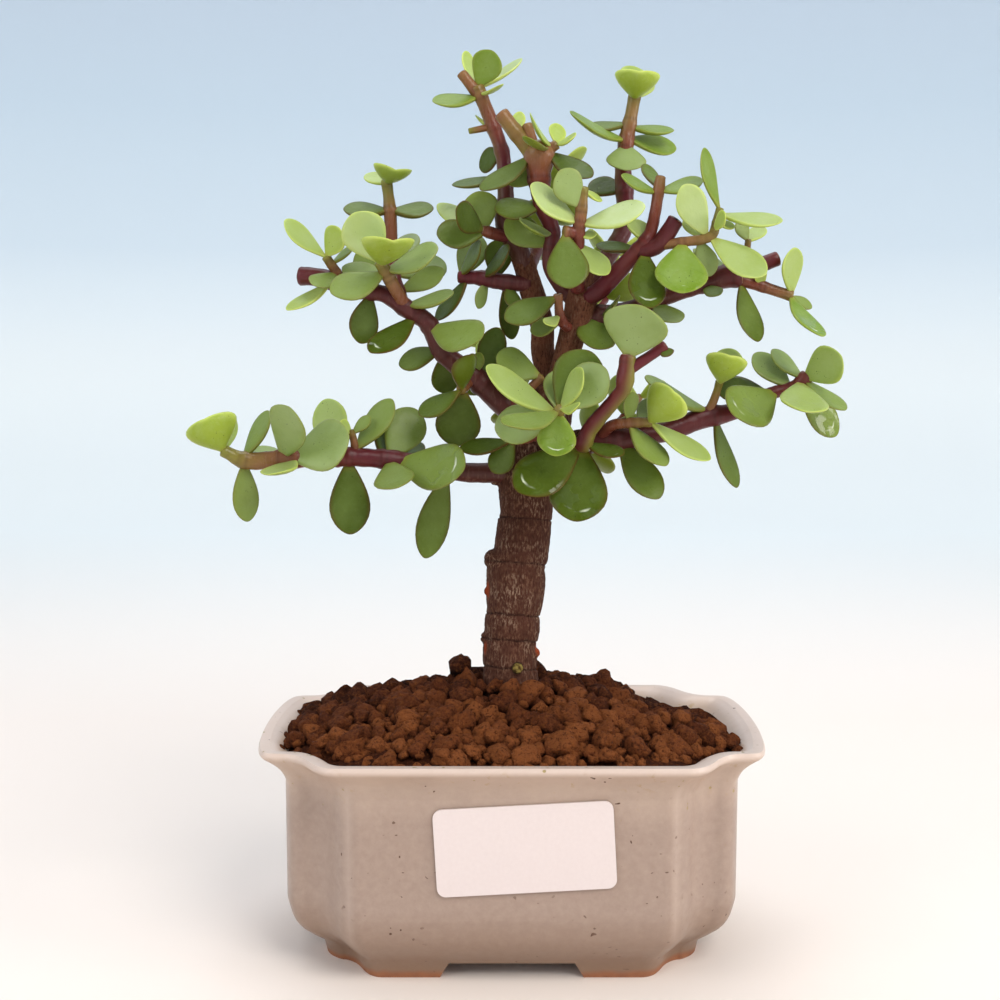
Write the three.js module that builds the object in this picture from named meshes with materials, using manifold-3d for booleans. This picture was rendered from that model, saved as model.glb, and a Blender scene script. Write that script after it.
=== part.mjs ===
// A dwarf jade bonsai (Portulacaria afra) in its glazed pot: pot, drain screens, label, soil, trunk
// and leafy sprays.
// Millimetres, +Z up, front towards -Y. The origin is on the ground, under the middle of the pot.
import * as THREE from "three";
import { mergeVertices } from "three/addons/utils/BufferGeometryUtils.js";
import Module from "manifold-3d";

const wasm = await Module();
wasm.setup();

// ---- Driving dimensions -------------------------------------------------------------------------
const GAP = 0.3; // between neighbouring pieces
const FOOT_HEIGHT = 4.8;
const FLOOR_TOP = 12;
const RIM_TOP = 66;
// Outer pot sections, from the ground up: height, half width, half depth, how far the corner cut takes
// off each, and the radius of a side panel's end.
const POT_OUTSIDE = [
  [0, 56.5, 33, 17, 12, 5],
  [5, 57.5, 34, 17.5, 12, 5],
  [8.5, 61.2, 37.6, 19, 12, 4.6],
  [13, 65.5, 41, 21.4, 12, 4.2],
  [20, 67.2, 42.6, 22.2, 12, 3.8],
  [56, 67.2, 42.6, 22.2, 12, 3.8],
  [59.5, 68.8, 43.7, 22.5, 12.4, 3.8],
  [62.2, 71.6, 46, 22.9, 13.4, 3.8],
  [64.3, 74.8, 48.5, 23.3, 14.6, 3.8],
  [RIM_TOP, 74.1, 47.8, 23.2, 14.4, 3.6],
];
// Inner pot sections, from the rim down to the floor.
const POT_INSIDE = [
  [RIM_TOP, 71.4, 45.2, 22.6, 14, 3.2],
  [64.8, 69.2, 43.2, 22, 13.4, 3],
  [61.5, 65.6, 40.4, 21.2, 12.2, 3],
  [54, 63.2, 38.4, 20.6, 11.4, 3],
  [20, 62.2, 37.4, 20.6, 11.4, 3],
  [FLOOR_TOP, 56, 32, 18, 11.4, 3],
];
// The notch at a corner, from the side panel's end to the front panel's: shares of the cut, across
// and in depth.
const CORNER_NOTCH = [
  [0.48, 1],
  [0.68, 0.76],
  [0.85, 0.24],
];
// Half a side panel, from its middle: shares of its half length, and of the bulge lost by then.
const SIDE_PANEL = [
  [0.25, 0],
  [0.68, 0.4],
];
const PANEL_BULGE = 3; // how far a side panel stands out from its ends
const LOBE_ROUND = [0.6, 0.7]; // how a side panel's end turns: shares of its radius, back and across
const PANEL_ROUND = 2; // the softness of a front panel's end
const FOOT_WALL = 7.5;
const FRONT_ARCH = [21.2, 18]; // half width of the gap between the feet, at the ground and at its top
const SIDE_ARCH = [10.5, 8.5];
const DRAIN = { radius: 6, x: 27 };
const SCREEN = { size: 20, thickness: 0.8, bar: 1.8, holes: 2 };
const LABEL = { width: 50, height: 25, corner: 2.5, thickness: 0.6, x: 3.5, z: 41.8, turn: 3.2 };
const SOIL_EDGE = 64; // height of the soil at the wall
const SOIL_CROWN = 77.5; // and round the trunk
const MOUND_FULLNESS = 2; // how flat the mound's middle is
const GRANULE = { pitch: 16.5, row: 14.4, jitter: 5.8, smallest: 6, largest: 8 };
const BIG_GRANULE = [-14, 2, 82.3, 6]; // the lump beside the trunk: x, depth, height, radius

// The crown's points are written as a front elevation drawn from this viewpoint on the plane y = 0, with
// the real depth as y: a point moves along its sight line as its depth changes, so the front view keeps
// its outline.
const VIEWPOINT = new THREE.Vector3(-3.4, -426.7, 181.8);

// ---- Wood: routes of [x, depth, z, radius] ------------------------------------------------------
const TRUNK = [
  // the trunk, with a groove at each old leaf joint
  [
    [0, 0, 58, 9.6],
    [0, 0, 72, 8.9],
    [-0.3, 0, 81.5, 8.3],
    [-0.4, 0, 83, 7.95],
    [-0.4, 0, 85, 8.2],
    [-0.5, 0, 90, 8],
    [-0.2, 0, 91.5, 7.75],
    [0.1, 0, 93.5, 8.2],
    [0.4, 0, 98.5, 8.3],
    [0.5, 0, 99.8, 7.95],
    [0.8, 0, 101.5, 8.3],
    [1.3, 0, 108, 8.9],
    [1.5, 0, 113.5, 8.8],
    [2, 0, 115.2, 8.35],
    [2.9, 0, 118, 8.2],
    [4, 0, 127, 8.1],
    [4.5, 0, 129.2, 7.65],
    [4.6, 0, 131.5, 7.9],
    [4.4, 0, 141, 8.2],
    [7.4, 0, 151, 8.1],
    [10.6, 0, 160, 7.6],
    [12, -0.5, 166.5, 6.2],
  ],
  // the old wood of the left leader
  [
    [11, 0, 158, 4.6],
    [12, 1.5, 168, 3.9],
    [9.3, 2, 178, 3.5],
    [9, 2, 186, 3.5],
    [6, 1, 196, 3.6],
    [4.6, 1, 201, 3.3],
    [3, 0.5, 206, 3.3],
  ],
  // the centre stem, thickening to the joint where the top limbs part
  [
    [11, -2, 158, 4.6],
    [13.5, -4, 167, 3.8],
    [16.5, -5, 178, 3.8],
    [19.5, -5, 189, 4.2],
    [21, -5, 195.5, 4.6],
    [21.4, -5, 198.5, 3],
  ],
  // the hollow cut stub on that joint
  [
    [21.5, -5, 196, 1.8],
    [24, -6, 204, 1.4],
  ],
  // the swollen joint at the right where the low limbs part
  [
    [10, -2, 147, 5],
    [17, -9, 150, 4.4],
    [21, -12, 151.3, 4.1],
  ],
];
// Burls and scars: centre, depth, height, radius.
const KNOBS = [
  [-5.2, -2, 116.2, 3.4],
  [-7.2, 0, 92.2, 2.4],
  [1.7, -7.2, 82.2, 2],
  [-6.6, -1, 106.5, 1.8],
  [7, -1.5, 87.6, 1.8],
  [-4.5, -2, 140.5, 2.2],
  [21.2, -12.6, 151.2, 4.4],
];

// ---- Leafy sprays -------------------------------------------------------------------------------
// Each leaf: where it leaves its stem (x, z), its tip (x, z), how far the tip lies behind its root, its
// width, and its roll: 0 shows the upper face to the front, 90 turns it up, or to the right on an upright
// leaf, and 140 to 230 shows the underside.
const SPRAYS = {
  low_left_spray: {
    stems: [
      [
        [1, -2, 142.4, 3.1],
        [-15, -3, 142.6, 2.9],
        [-30, -6, 145.4, 2.8],
        [-46, -9, 147, 2.7],
        [-66, -11, 146.6, 2.7],
        [-79, -12, 146, 2.5],
        [-86, -13, 149, 1.6],
      ],
      [
        [-46.5, -9, 148, 1.2],
        [-47, -9, 152, 1.1],
        [-47.8, -9, 155, 0.9],
      ],
    ],
    leaves: [
      [-86, 149, -91.4, 158.5, -5, 15.8, 157],
      [-85.5, 149, -83.6, 160.5, 6, 7, 40],
      [-80, 147, -72.3, 161, 4, 10, 48],
      [-80.5, 144.5, -79, 127.6, -3, 9, 42],
      [-68, 148, -77, 150, 8, 8.5, 40],
      [-68.5, 147, -66, 162, -4, 13.5, 10],
      [-64.5, 146, -72.5, 141.8, -9, 11, 40],
      [-66.5, 147, -48.3, 153.2, -7, 16, 10],
      [-52, 149, -55.5, 164.3, 4, 11, -15],
      [-48.5, 146, -48.3, 123.7, -4, 12, 5],
      [-47.5, 154, -42, 159.3, 1, 5, 30],
      [-47.8, 154, -51, 157.7, -1, 4.5, 30],
      [-46, 149, -35.5, 164.4, 4, 11, 35],
      [-38.5, 147, -37.5, 160, 7, 9, 50],
      [-36.5, 147, -28.5, 161.5, 2, 12.5, -10],
      [-36, 147, -27, 151.5, 9, 8, 20],
      [-34.5, 146.5, -14, 143.5, -8, 15.5, 5],
      [-36.5, 146.5, -34.4, 137.8, -12, 12, 0],
      [-19, 143, -26, 116.5, -2, 10, 20],
    ],
  },
  left_limb_spray: {
    stems: [
      [
        [7, -1, 156, 3.9],
        [0, -1, 161, 3.9],
        [-10, -3, 170, 3.4],
        [-20, -5, 178, 2.9],
        [-25, -7, 187, 2.6],
        [-31, -8, 191, 2.7],
        [-37, -8, 195, 2.5],
        [-45, -7, 196.5, 2.5],
        [-56, -5, 200, 2.6],
        [-62, -4, 200.5, 2.7],
      ],
      [
        [-31, -8, 191, 1.9],
        [-35, -12, 198, 1.9],
        [-38.5, -14, 204.5, 1.7],
      ],
      [
        [-49, -6, 197.5, 1.4],
        [-50.5, -6, 200, 1.4],
        [-54.5, -8, 206, 1.2],
      ],
      [
        [-32, -7, 192, 2],
        [-34.5, -2, 200, 2],
        [-35.5, 1, 208, 2.1],
        [-35.5, 1, 218, 1.9],
        [-36.5, 1, 228, 1.5],
      ],
      [
        [-11, -3, 171, 1.6],
        [-15, -9, 167, 1.4],
      ],
      [
        [0, -3, 162, 1.5],
        [6, -8, 168, 1.3],
        [9, -9, 171, 1.2],
      ],
    ],
    leaves: [
      [-15, 167, -27.5, 159.5, -2, 10.5, 40],
      [-14, 167.5, -16.8, 150.3, -6, 13.5, 5],
      [-15, 167, -12.5, 177.5, -8, 9, 150],
      [-20, 178, -19, 166, 8, 9, 10],
      [-21, 179, -33.4, 174.7, 3, 9.8, 30],
      [-24, 186, -9, 182, -7, 13, 10],
      [-8, 170, -4, 185.5, 6, 8.5, 0],
      [-11, 172, -9, 178, -3, 4, 0],
      [8.7, 171, -4.5, 177.2, -2, 11.5, 20],
      [-38.5, 204, -46.5, 218.7, -6, 13, -10],
      [-38.5, 204.5, -34.8, 210.8, -11, 15, 176],
      [-37, 202, -21.5, 208.5, -5, 13, 35],
      [-35.5, 219.5, -49.3, 220, 0, 12, 44],
      [-35.5, 219.5, -22.8, 220, 0, 12, 44],
      [-36.5, 227, -42, 230.2, 5, 7, 30],
      [-36.3, 228, -33.9, 231.2, -9, 11.5, 183],
      [-31.5, 192, -17, 195.5, -4, 10, 45],
      [-34.5, 201, -20, 205, 9, 12, 10],
      [-33, 196, -20, 202.5, 5, 8.5, 20],
      [-35, 205, -28.5, 212.8, 7, 8, 20],
      [-37, 201.5, -53.3, 195.5, -6, 11.5, 20],
      [-36.5, 200, -49.5, 203.5, 4, 8.5, 30],
      [-54.5, 206, -66.5, 216.8, -2, 8.6, 35],
      [-54.5, 206, -50.5, 214.5, -4, 9, 20],
      [-53, 204, -46.5, 209.5, 3, 6, 50],
      [-45, 197, -42, 210, 7, 7, 0],
      [-51.5, 201.5, -58.5, 197.8, -6, 7.5, 10],
      [-53, 199, -66.3, 190.5, -4, 9, 45],
      [-41.5, 195, -44.8, 180.7, -3, 9.3, 30],
      [-28, 189, -41.8, 178, -6, 9.5, 20],
    ],
  },
  left_twig_spray: {
    stems: [
      [
        [5.5, -0.5, 198, 2.3],
        [-1, -1, 198.5, 2.3],
        [-10, -2, 200, 2.1],
        [-15.5, -2, 200.2, 1.5],
      ],
    ],
    leaves: [
      [-17.5, 200.2, -9, 210.5, -4, 9, 50],
      [-15, 200, -9.5, 212.3, 5, 9, 0],
      [-9, 199.5, -0.5, 209, -4, 9.5, 45],
      [-5, 199, -3.2, 211, 6, 8.5, 10],
      [-13, 199, -22.3, 187.5, -4, 9.5, 48],
      [-7, 199, -10, 191, -2, 5, 50],
      [-1, 198, 1.5, 190.5, -5, 6, 30],
      [-2, 198, 0.5, 182, 3, 7, 20],
    ],
  },
  left_leader_spray: {
    stems: [
      [
        [4, 0.5, 203, 2.8],
        [3, 0, 206, 3],
        [-2, 0, 216, 2.9],
        [-1.7, 1, 224, 2.5],
        [-2.8, 2, 236, 2.1],
        [-6, 3, 245, 2.1],
        [-10, 3, 254.5, 1.9],
      ],
      [
        [-8.5, 3, 251, 1.7],
        [-14.5, 3, 258.5, 1.6],
      ],
      [
        [-5.5, 3, 243.5, 1.1],
        [-12.3, 2, 242.2, 0.9],
      ],
      [
        [1, 0, 211, 1.8],
        [-6, -4, 213, 1.7],
        [-8.5, -5, 213.7, 1.3],
      ],
    ],
    leaves: [
      [-9.8, 254.5, -5.5, 265, -4, 9.5, 0],
      [-9.8, 255.5, 2.6, 262.8, 3, 8, 48],
      [-9.8, 254.5, -12.8, 264.8, 4, 6, 40],
      [-9, 253, -2.8, 255.5, -4, 4.5, 40],
      [-9.5, 252, -23, 250.6, -3, 10.6, 40],
      [-5.3, 243, -9.7, 246.3, 4, 6, 60],
      [-3, 236.5, -9.5, 232.5, 7, 8, 0],
      [-2.2, 229.5, -17.5, 226.8, 1, 9.5, 50],
      [-7.5, 213.5, -10, 225, 0, 10.5, 0],
      [-8, 213.6, -21.5, 221.5, 5, 7, 20],
      [-8, 213.6, -16.3, 220, -6, 9, -10],
      [-7, 213.3, -22, 212.5, 3, 9.5, 0],
    ],
  },
  top_centre_spray: {
    stems: [
      [
        [18, -4, 193.5, 2.3],
        [14, -5, 198, 2],
        [11, -7, 204, 2],
        [12, -8, 213, 2.2],
        [9, -8, 222, 2.8],
        [8, -8, 229, 3.3],
        [8, -8, 235.5, 4.6],
        [8, -8, 238.5, 3.4],
      ],
      [
        [6, -8, 235.5, 2.3],
        [1, -8, 242, 2.2],
        [-3, -8, 247, 2.2],
      ],
      [
        [6.5, -8, 237, 1.7],
        [4.5, -8, 244, 1.5],
      ],
      [
        [9.5, -8, 236, 1.6],
        [13, -8, 238.4, 1.3],
      ],
    ],
    leaves: [
      [1, 241.5, 2.5, 247.8, 0, 4, 0],
      [10.8, 239, 5.5, 247, -3, 6, 40],
      [10.5, 238, 3.8, 240.8, -6, 5, 40],
      [13, 238.4, 13.6, 244.3, 2, 5.5, 20],
      [13, 238.4, 18.6, 241, -2, 6, 40],
      [10.5, 236, 23.5, 229, -6, 9.5, 30],
      [6.5, 234.5, -9, 225.2, -7, 10.5, 40],
      [7.5, 228, -2, 230, -2, 7, 0],
      [12, 213, 3, 216, -5, 9.5, 40],
      [11.5, 209, -2, 216.5, 4, 9.5, 0],
      [9.5, 221, -5, 219.7, -4, 10.5, 28],
    ],
  },
  centre_shoot_spray: {
    stems: [
      [
        [19.5, -9, 196.5, 2.2],
        [18.8, -14, 204, 2],
        [19.6, -18, 213, 1.8],
        [20.5, -19, 220, 1.6],
        [21, -19, 226, 1.3],
      ],
      [
        [19.5, -18, 213, 1.6],
        [15.6, -19, 213.2, 1.8],
      ],
    ],
    leaves: [
      [20, 215.6, 5.5, 226.8, -5, 10.5, 30],
      [20.2, 215.5, 39.2, 220.6, -5, 12.6, 35],
      [20.5, 220, 14, 231, 3, 9.5, 0],
      [21, 225.5, 26.5, 222.5, -2, 4.5, 40],
      [15.6, 213.2, 17.2, 196.8, -7, 12, 0],
      [20, 212.5, 25, 212.5, -4, 4, 30],
      [19.8, 210, 28.5, 201, -3, 9.5, 30],
    ],
  },
  crimson_spray: {
    stems: [
      [
        [22, -7, 194.5, 2.8],
        [25, -8, 195.6, 2.7],
        [31, -10, 201.5, 2.6],
        [38, -13, 209, 2.1],
        [41, -13, 214, 1.8],
        [43.5, -12, 229, 1.5],
      ],
      [
        [37, -12.5, 207.5, 2.2],
        [43, -14, 209.5, 2.5],
        [48, -15, 216.5, 2.4],
      ],
      [
        [42, -14, 209.2, 1.5],
        [50, -16, 210.3, 1.4],
        [58.5, -17, 212, 1.3],
        [60, -16, 216, 1.2],
        [61, -16, 220, 1],
      ],
    ],
    leaves: [
      [61.6, 219.5, 56, 237.5, -2, 8, 45],
      [60.5, 218.5, 79.5, 216.5, -3, 10, 40],
      [57.5, 212, 50, 226.8, -4, 9.5, 0],
      [59, 213.5, 62.5, 219, -5, 4.5, 30],
      [60, 216, 65.5, 215, -4, 4, 30],
      [56, 211.5, 51, 217.5, 4, 5, 0],
      [58, 211.8, 74.8, 200.8, -6, 11, 15],
      [43, 224.5, 32, 229.5, -2, 9, 45],
      [43, 225, 56, 228.2, -4, 8.5, 35],
      [43, 226, 39.5, 232.8, 4, 6, 30],
      [37, 208.5, 25.3, 210, 4, 8.5, 40],
      [39, 210.5, 36.5, 217, -5, 8.5, 30],
      [39, 208.5, 40.5, 191, -8, 11, 10],
      [50, 210.3, 50, 195.5, -10, 15, 0],
      [55, 211, 58.8, 200.5, 3, 7, 0],
    ],
  },
  right_limb_spray: {
    stems: [
      [
        [20, -2, 188.5, 3.2],
        [32, -4, 189.5, 3.1],
        [43, -7, 193.6, 2.5],
        [57, -8, 198.3, 2.5],
        [62.7, -8, 200.4, 3.5],
        [66.5, -8, 201.2, 3.6],
      ],
      [
        [65, -8, 200.8, 2.4],
        [78, -8, 205.5, 2.2],
      ],
      [
        [65, -8, 200, 1.8],
        [74, -9, 197.4, 1.6],
        [82.5, -10, 194.7, 1.5],
      ],
      [
        [68, -8, 202, 1.1],
        [69, -7, 207, 1],
        [69.5, -7, 211, 0.8],
      ],
    ],
    leaves: [
      [69.4, 210.5, 66.5, 217, -1, 5.5, 20],
      [69.4, 210.5, 73.5, 215, 1, 5.5, 20],
      [74, 197.4, 73, 202.2, -3, 4, 0],
      [65.5, 201, 54, 208.5, 3, 9, 45],
      [82.6, 195, 83, 208.8, -3, 9.5, 40],
      [82.5, 194.8, 88.7, 191.5, 2, 5, 30],
      [82, 194.8, 91.8, 182.8, -3, 9.5, 40],
      [67.3, 199, 72.8, 181.2, -4, 8.4, 25],
      [56, 198.5, 61.5, 195, -5, 5, 0],
      [42, 192.5, 49.5, 187, -5, 8.5, 20],
      [26, 190.3, 31.5, 194, -5, 6, 30],
      [26, 190.3, 24.3, 179.2, -3, 12, 10],
    ],
  },
  right_leader_spray: {
    stems: [
      [
        [22, -2, 194, 2.6],
        [27, 5, 204, 2.7],
        [33, 10, 215, 2.7],
        [32.5, 12, 232, 2.5],
        [33.5, 13, 240, 2.2],
        [35.8, 14, 252.5, 1.8],
      ],
    ],
    leaves: [
      [35.7, 251.5, 36.9, 259.2, -9, 13.5, 184],
      [35.7, 251.5, 37, 260, 9, 12, 20],
      [33.8, 244.6, 21.5, 243.5, 0, 9, 48],
      [33.8, 243.6, 47.3, 242.4, 0, 9.5, 48],
      [33.3, 239.5, 17.1, 247.3, -3, 10.5, 40],
      [33.3, 240.3, 48, 237.5, -3, 11, 30],
      [33.3, 238.5, 33.5, 231, -10, 12, 0],
      [32.7, 225, 22.8, 227.5, 3, 9.5, 20],
    ],
  },
  low_right_spray: {
    stems: [
      [
        [20, -12, 151.3, 3.5],
        [33, -14, 152.6, 3.2],
        [45, -13, 154.5, 3],
        [58, -11, 159, 3],
        [66, -10, 160.6, 2.5],
        [78, -9, 166.3, 1.7],
        [84, -9, 168, 1.7],
        [87.5, -9, 171, 2.1],
      ],
      [
        [26, -13, 152, 1.9],
        [30, -18, 156.5, 1.6],
        [41.5, -21, 157.5, 1.3],
      ],
      [
        [58, -11, 159, 1.4],
        [60.5, -13, 165, 1.2],
        [61.8, -14, 169.5, 1.1],
      ],
    ],
    leaves: [
      [61.8, 169.2, 64.8, 177.2, -8, 12, 192],
      [61.8, 169.2, 66, 179, 5, 9, 0],
      [58, 161, 39.5, 170.6, 2, 11.5, 48],
      [77, 166, 60.5, 168.5, -3, 10, 20],
      [79, 165.4, 65.6, 160, -8, 15.6, 5],
      [83, 167.7, 72, 178, 3, 11, 30],
      [86.5, 170.5, 77, 179, 6, 9, 40],
      [87, 170, 99.4, 161, -8, 9.5, 40],
      [86.8, 170, 97.8, 177, -6, 11.5, -10],
      [86, 169, 88, 160.5, -12, 14, 0],
      [86, 169, 97, 153.5, -4, 10, 10],
      [60.5, 159.5, 67.5, 137.8, -3, 9, 40],
      [29.5, 152.4, 39.5, 144.7, -5, 10, 40],
      [35, 157, 46.3, 144.4, -5, 10.5, 40],
      [32, 152.5, 44.3, 134.5, 3, 10.5, 15],
      [41, 157.5, 48.5, 166.5, -8, 13, 223],
      [42.5, 158.5, 59.5, 146.3, -4, 9.6, 40],
      [35, 157, 36, 166.5, -2, 6, 40],
      [38, 157.2, 42, 164.5, 5, 6, 0],
    ],
  },
  front_shoot_spray: {
    stems: [
      [
        [21.2, -17, 150.8, 2.4],
        [21.8, -21, 151.6, 2.4],
        [23.6, -23, 155.7, 2.3],
        [33, -30, 167, 2.1],
        [33.7, -31, 170, 2.6],
        [34.5, -31, 177, 2],
      ],
      [
        [34, -31, 172.5, 1.6],
        [45.5, -31, 180, 1.4],
      ],
    ],
    leaves: [
      [34.5, 176.3, 38, 192, -5, 18, -5],
      [44.8, 180, 46.8, 177, -2, 4, 0],
      [21.3, 151, 19.2, 127.6, -5, 17, 0],
      [21, 150.8, 1.3, 137, 1, 14.5, 10],
      [21.7, 151.3, 33.6, 147.8, -5, 8, 40],
    ],
  },
  front_rosette_spray: {
    stems: [
      [
        [11, -6, 152, 2.3],
        [13, -15, 157, 2],
        [14, -24, 160, 1.8],
        [14.5, -27, 161.3, 1.4],
      ],
      [
        [12.3, -12, 155, 1.5],
        [5, -14, 152.5, 1.3],
        [0, -14, 152, 1.2],
      ],
    ],
    leaves: [
      [13.5, 160, -7.6, 174, -3, 12, 40],
      [14.3, 161, 21, 173.5, -4, 9, 48],
      [14, 160.5, 14, 173, 5, 9, 0],
      [13.7, 159.5, -5, 155.5, -1, 12.5, 10],
      [14.3, 160.8, -2.3, 156.8, -7, 11, 35],
      [14.3, 160.8, 13, 147.3, -9, 11, 0],
      [13.5, 160, 23.5, 178.5, 5, 15, 0],
      [14.3, 161, 28, 173.5, 1, 13, 10],
      [14.5, 161.3, 20, 162.5, -5, 4, 0],
      [1, 152, -5.5, 142.3, -1, 8, 10],
      [0.5, 152, -15.5, 149.6, 2, 8.5, 40],
    ],
  },
  fork_spray: {
    stems: [
      [
        [17, -7, 185, 1.6],
        [14.5, -13, 188, 1.4],
        [13.6, -15, 195, 1.2],
      ],
    ],
    leaves: [
      [13.7, 194.5, -2, 187.6, -2, 10.5, 25],
      [14.7, 187.5, 5.5, 184.5, 2, 8, 30],
      [14.3, 189, 10, 186.5, -4, 4, 0],
    ],
  },
};

// Sprays behind the trunk: their stems, with leaf pairs set by rule. Depth grows away from the front.
const BACK_SPRAYS = {
  back_low_spray: [
    [12, 5, 150, 2.7],
    [21, 17, 152, 2.3],
    [32, 29, 157, 1.8],
    [38, 38, 165, 1.2],
  ],
  back_left_spray: [
    [9, 5, 158, 2.7],
    [2, 17, 163, 2.3],
    [-6, 29, 170, 1.8],
    [-9, 38, 180, 1.2],
  ],
  back_centre_spray: [
    [18, 0, 184, 2.5],
    [22, 14, 188, 2.1],
    [28, 26, 196, 1.7],
    [30, 36, 207, 1.2],
  ],
  back_top_spray: [
    [5, 2, 203, 2.3],
    [8, 14, 210, 2],
    [11, 24, 220, 1.6],
    [12, 31, 231, 1.2],
  ],
};
const PAIR_PITCH = 9.5; // between leaf pairs along a stem
const PAIR_LEAF = [10, 15]; // shortest and longest leaf of a pair
const PAIR_WIDTH = 0.8; // of its length
const LAST_PAIR = 0.7; // from the stem's end to its last pair
const LAST_PAIR_SIZE = 0.75; // of a full leaf
const PAIR_RISE = [0.9, 0.45]; // how far a leaf leans along its stem: in the last pair, and below it
const PAIR_WOBBLE = 0.4; // radians about the stem
const PAIRED_SHARE = 0.72; // of a stem's length that bears leaf pairs

// ---- Leaf form ----------------------------------------------------------------------------------
const LEAF_STATIONS = [0.15, 0.42, 0.7, 0.93];
const SMALL_LEAF = 8.2; // up to this width a leaf has fewer stations
const SMALL_LEAF_STATIONS = [0.2, 0.6, 0.9];
const STEM_SIDES = 5;
const LEAF_THICKNESS = 0.19; // of its width
const THINNEST_LEAF = 1.2;
const LEAF_BOW = 0.05; // sag of the midrib, of its length
const LEAF_CUP = 0.1; // rise of the edges, of its half width
const DEEP_CUP = 0.4; // of a leaf seen from beneath
const FROM_BENEATH = 140; // rolls from here on show the underside
const FACE_LIFT = 0.35; // a leaf's face looks up this much for each part forward
const leafHalfWidth = (t) => Math.sin(Math.PI * t ** 1.55) ** 0.58;

const COLOURS = {
  glaze: "#b9aaa0",
  screen: "#2b2c2b",
  paper: "#efe6e6",
  soil: "#7b4526",
  bark: "#5b3d30",
  leaf: "#6f9440",
};

// ---- Solids -------------------------------------------------------------------------------------
const v = (x, y, z) => new THREE.Vector3(x, y, z);

function mulberry32(seed) {
  let state = seed;
  return () => {
    state = (state + 0x6d2b79f5) | 0;
    let t = Math.imul(state ^ (state >>> 15), 1 | state);
    t = (t + Math.imul(t ^ (t >>> 7), 61 | t)) ^ t;
    return ((t ^ (t >>> 14)) >>> 0) / 4294967296;
  };
}

function solidOf(geometry) {
  const plain = geometry.clone();
  plain.deleteAttribute("normal");
  plain.deleteAttribute("uv");
  const merged = mergeVertices(plain, 1e-4);
  const mesh = new wasm.Mesh({
    numProp: 3,
    vertProperties: merged.attributes.position.array,
    triVerts: new Uint32Array(merged.index.array),
  });
  return new wasm.Manifold(mesh);
}

// A closed skin over rings of points, each ring anticlockwise about the way the rings run; the ends
// close on a point.
function loft(rings, first, last) {
  const count = rings[0].length;
  const points = [...rings.flat(), first, last];
  const start = points.length - 2;
  const end = points.length - 1;
  const faces = [];
  for (let k = 0; k < count; k++) {
    const next = (k + 1) % count;
    faces.push(start, next, k);
    for (let r = 0; r + 1 < rings.length; r++) {
      const low = r * count;
      const high = low + count;
      faces.push(low + k, low + next, high + next);
      faces.push(low + k, high + next, high + k);
    }
    const top = (rings.length - 1) * count;
    faces.push(end, top + k, top + next);
  }
  const geometry = new THREE.BufferGeometry().setFromPoints(points);
  geometry.setIndex(faces);
  return solidOf(geometry);
}

const middle = (ring) => ring.reduce((sum, p) => sum.add(p), v(0, 0, 0)).divideScalar(ring.length);

function joined(solids) {
  return solids.reduce((whole, next) => whole.add(next));
}

// ---- Pot ----------------------------------------------------------------------------------------
// A rectangle with a soft notch at each corner, anticlockwise from above. Each quarter runs from a side
// panel's middle round its end, in along the notch, and out again to the front or back panel.
function potSection([z, halfX, halfY, cutX, cutY, round], grow = 0) {
  const x = halfX + grow;
  const y = halfY + grow;
  const lobe = y - cutY;
  const [back, across] = LOBE_ROUND;
  const quarter = [
    ...SIDE_PANEL.map(([share, lost]) => [x - PANEL_BULGE * lost, lobe * share]),
    [x - PANEL_BULGE, lobe - round * back],
    [x - PANEL_BULGE - round * across, lobe],
    ...CORNER_NOTCH.map(([inward, deep]) => [x - cutX * inward, y - cutY * deep]),
    [x - cutX, y - PANEL_ROUND / 4],
    [x - cutX - PANEL_ROUND, y],
  ];
  const half = [...quarter, ...quarter.toReversed().map(([px, py]) => [-px, py])];
  const whole = [...half, ...half.toReversed().map(([px, py]) => [px, -py])];
  return whole.map(([px, py]) => v(px, py, z));
}

function bar(halfWidths, height, length, alongX) {
  const [low, high] = halfWidths;
  const outline = new THREE.Shape([
    new THREE.Vector2(-low, -1),
    new THREE.Vector2(low, -1),
    new THREE.Vector2(high, height),
    new THREE.Vector2(-high, height),
  ]);
  const geometry = new THREE.ExtrudeGeometry(outline, { depth: length, bevelEnabled: false });
  geometry.translate(0, 0, -length / 2).rotateX(Math.PI / 2);
  if (alongX) geometry.rotateZ(Math.PI / 2);
  return solidOf(geometry);
}

function makePot() {
  const rings = [...POT_OUTSIDE, ...POT_INSIDE].map((section) => potSection(section));
  let pot = loft(rings, v(0, 0, 0), v(0, 0, FLOOR_TOP));
  const ground = POT_OUTSIDE[0];
  const hollow = [-1, FOOT_HEIGHT].map((z) => potSection([z, ...ground.slice(1)], -FOOT_WALL));
  pot = pot.subtract(loft(hollow, middle(hollow[0]), middle(hollow[1])));
  pot = pot.subtract(bar(FRONT_ARCH, FOOT_HEIGHT, 200, false));
  pot = pot.subtract(bar(SIDE_ARCH, FOOT_HEIGHT, 200, true));
  for (const side of [-1, 1]) {
    const hole = new THREE.CylinderGeometry(DRAIN.radius, DRAIN.radius, 40, 20);
    hole.rotateX(Math.PI / 2).translate(side * DRAIN.x, 0, 0);
    pot = pot.subtract(solidOf(hole));
  }
  return pot;
}

function makeScreen(side) {
  const { size, thickness, bar: width, holes } = SCREEN;
  const pitch = (size - width) / holes;
  let screen = solidOf(new THREE.BoxGeometry(size, size, thickness));
  for (let i = 0; i < holes; i++) {
    for (let j = 0; j < holes; j++) {
      const hole = new THREE.BoxGeometry(pitch - width, pitch - width, thickness * 3);
      const first = -(size - pitch - width) / 2;
      screen = screen.subtract(solidOf(hole.translate(first + i * pitch, first + j * pitch, 0)));
    }
  }
  return screen.translate(side * DRAIN.x, 0, FLOOR_TOP + GAP + thickness / 2);
}

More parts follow.
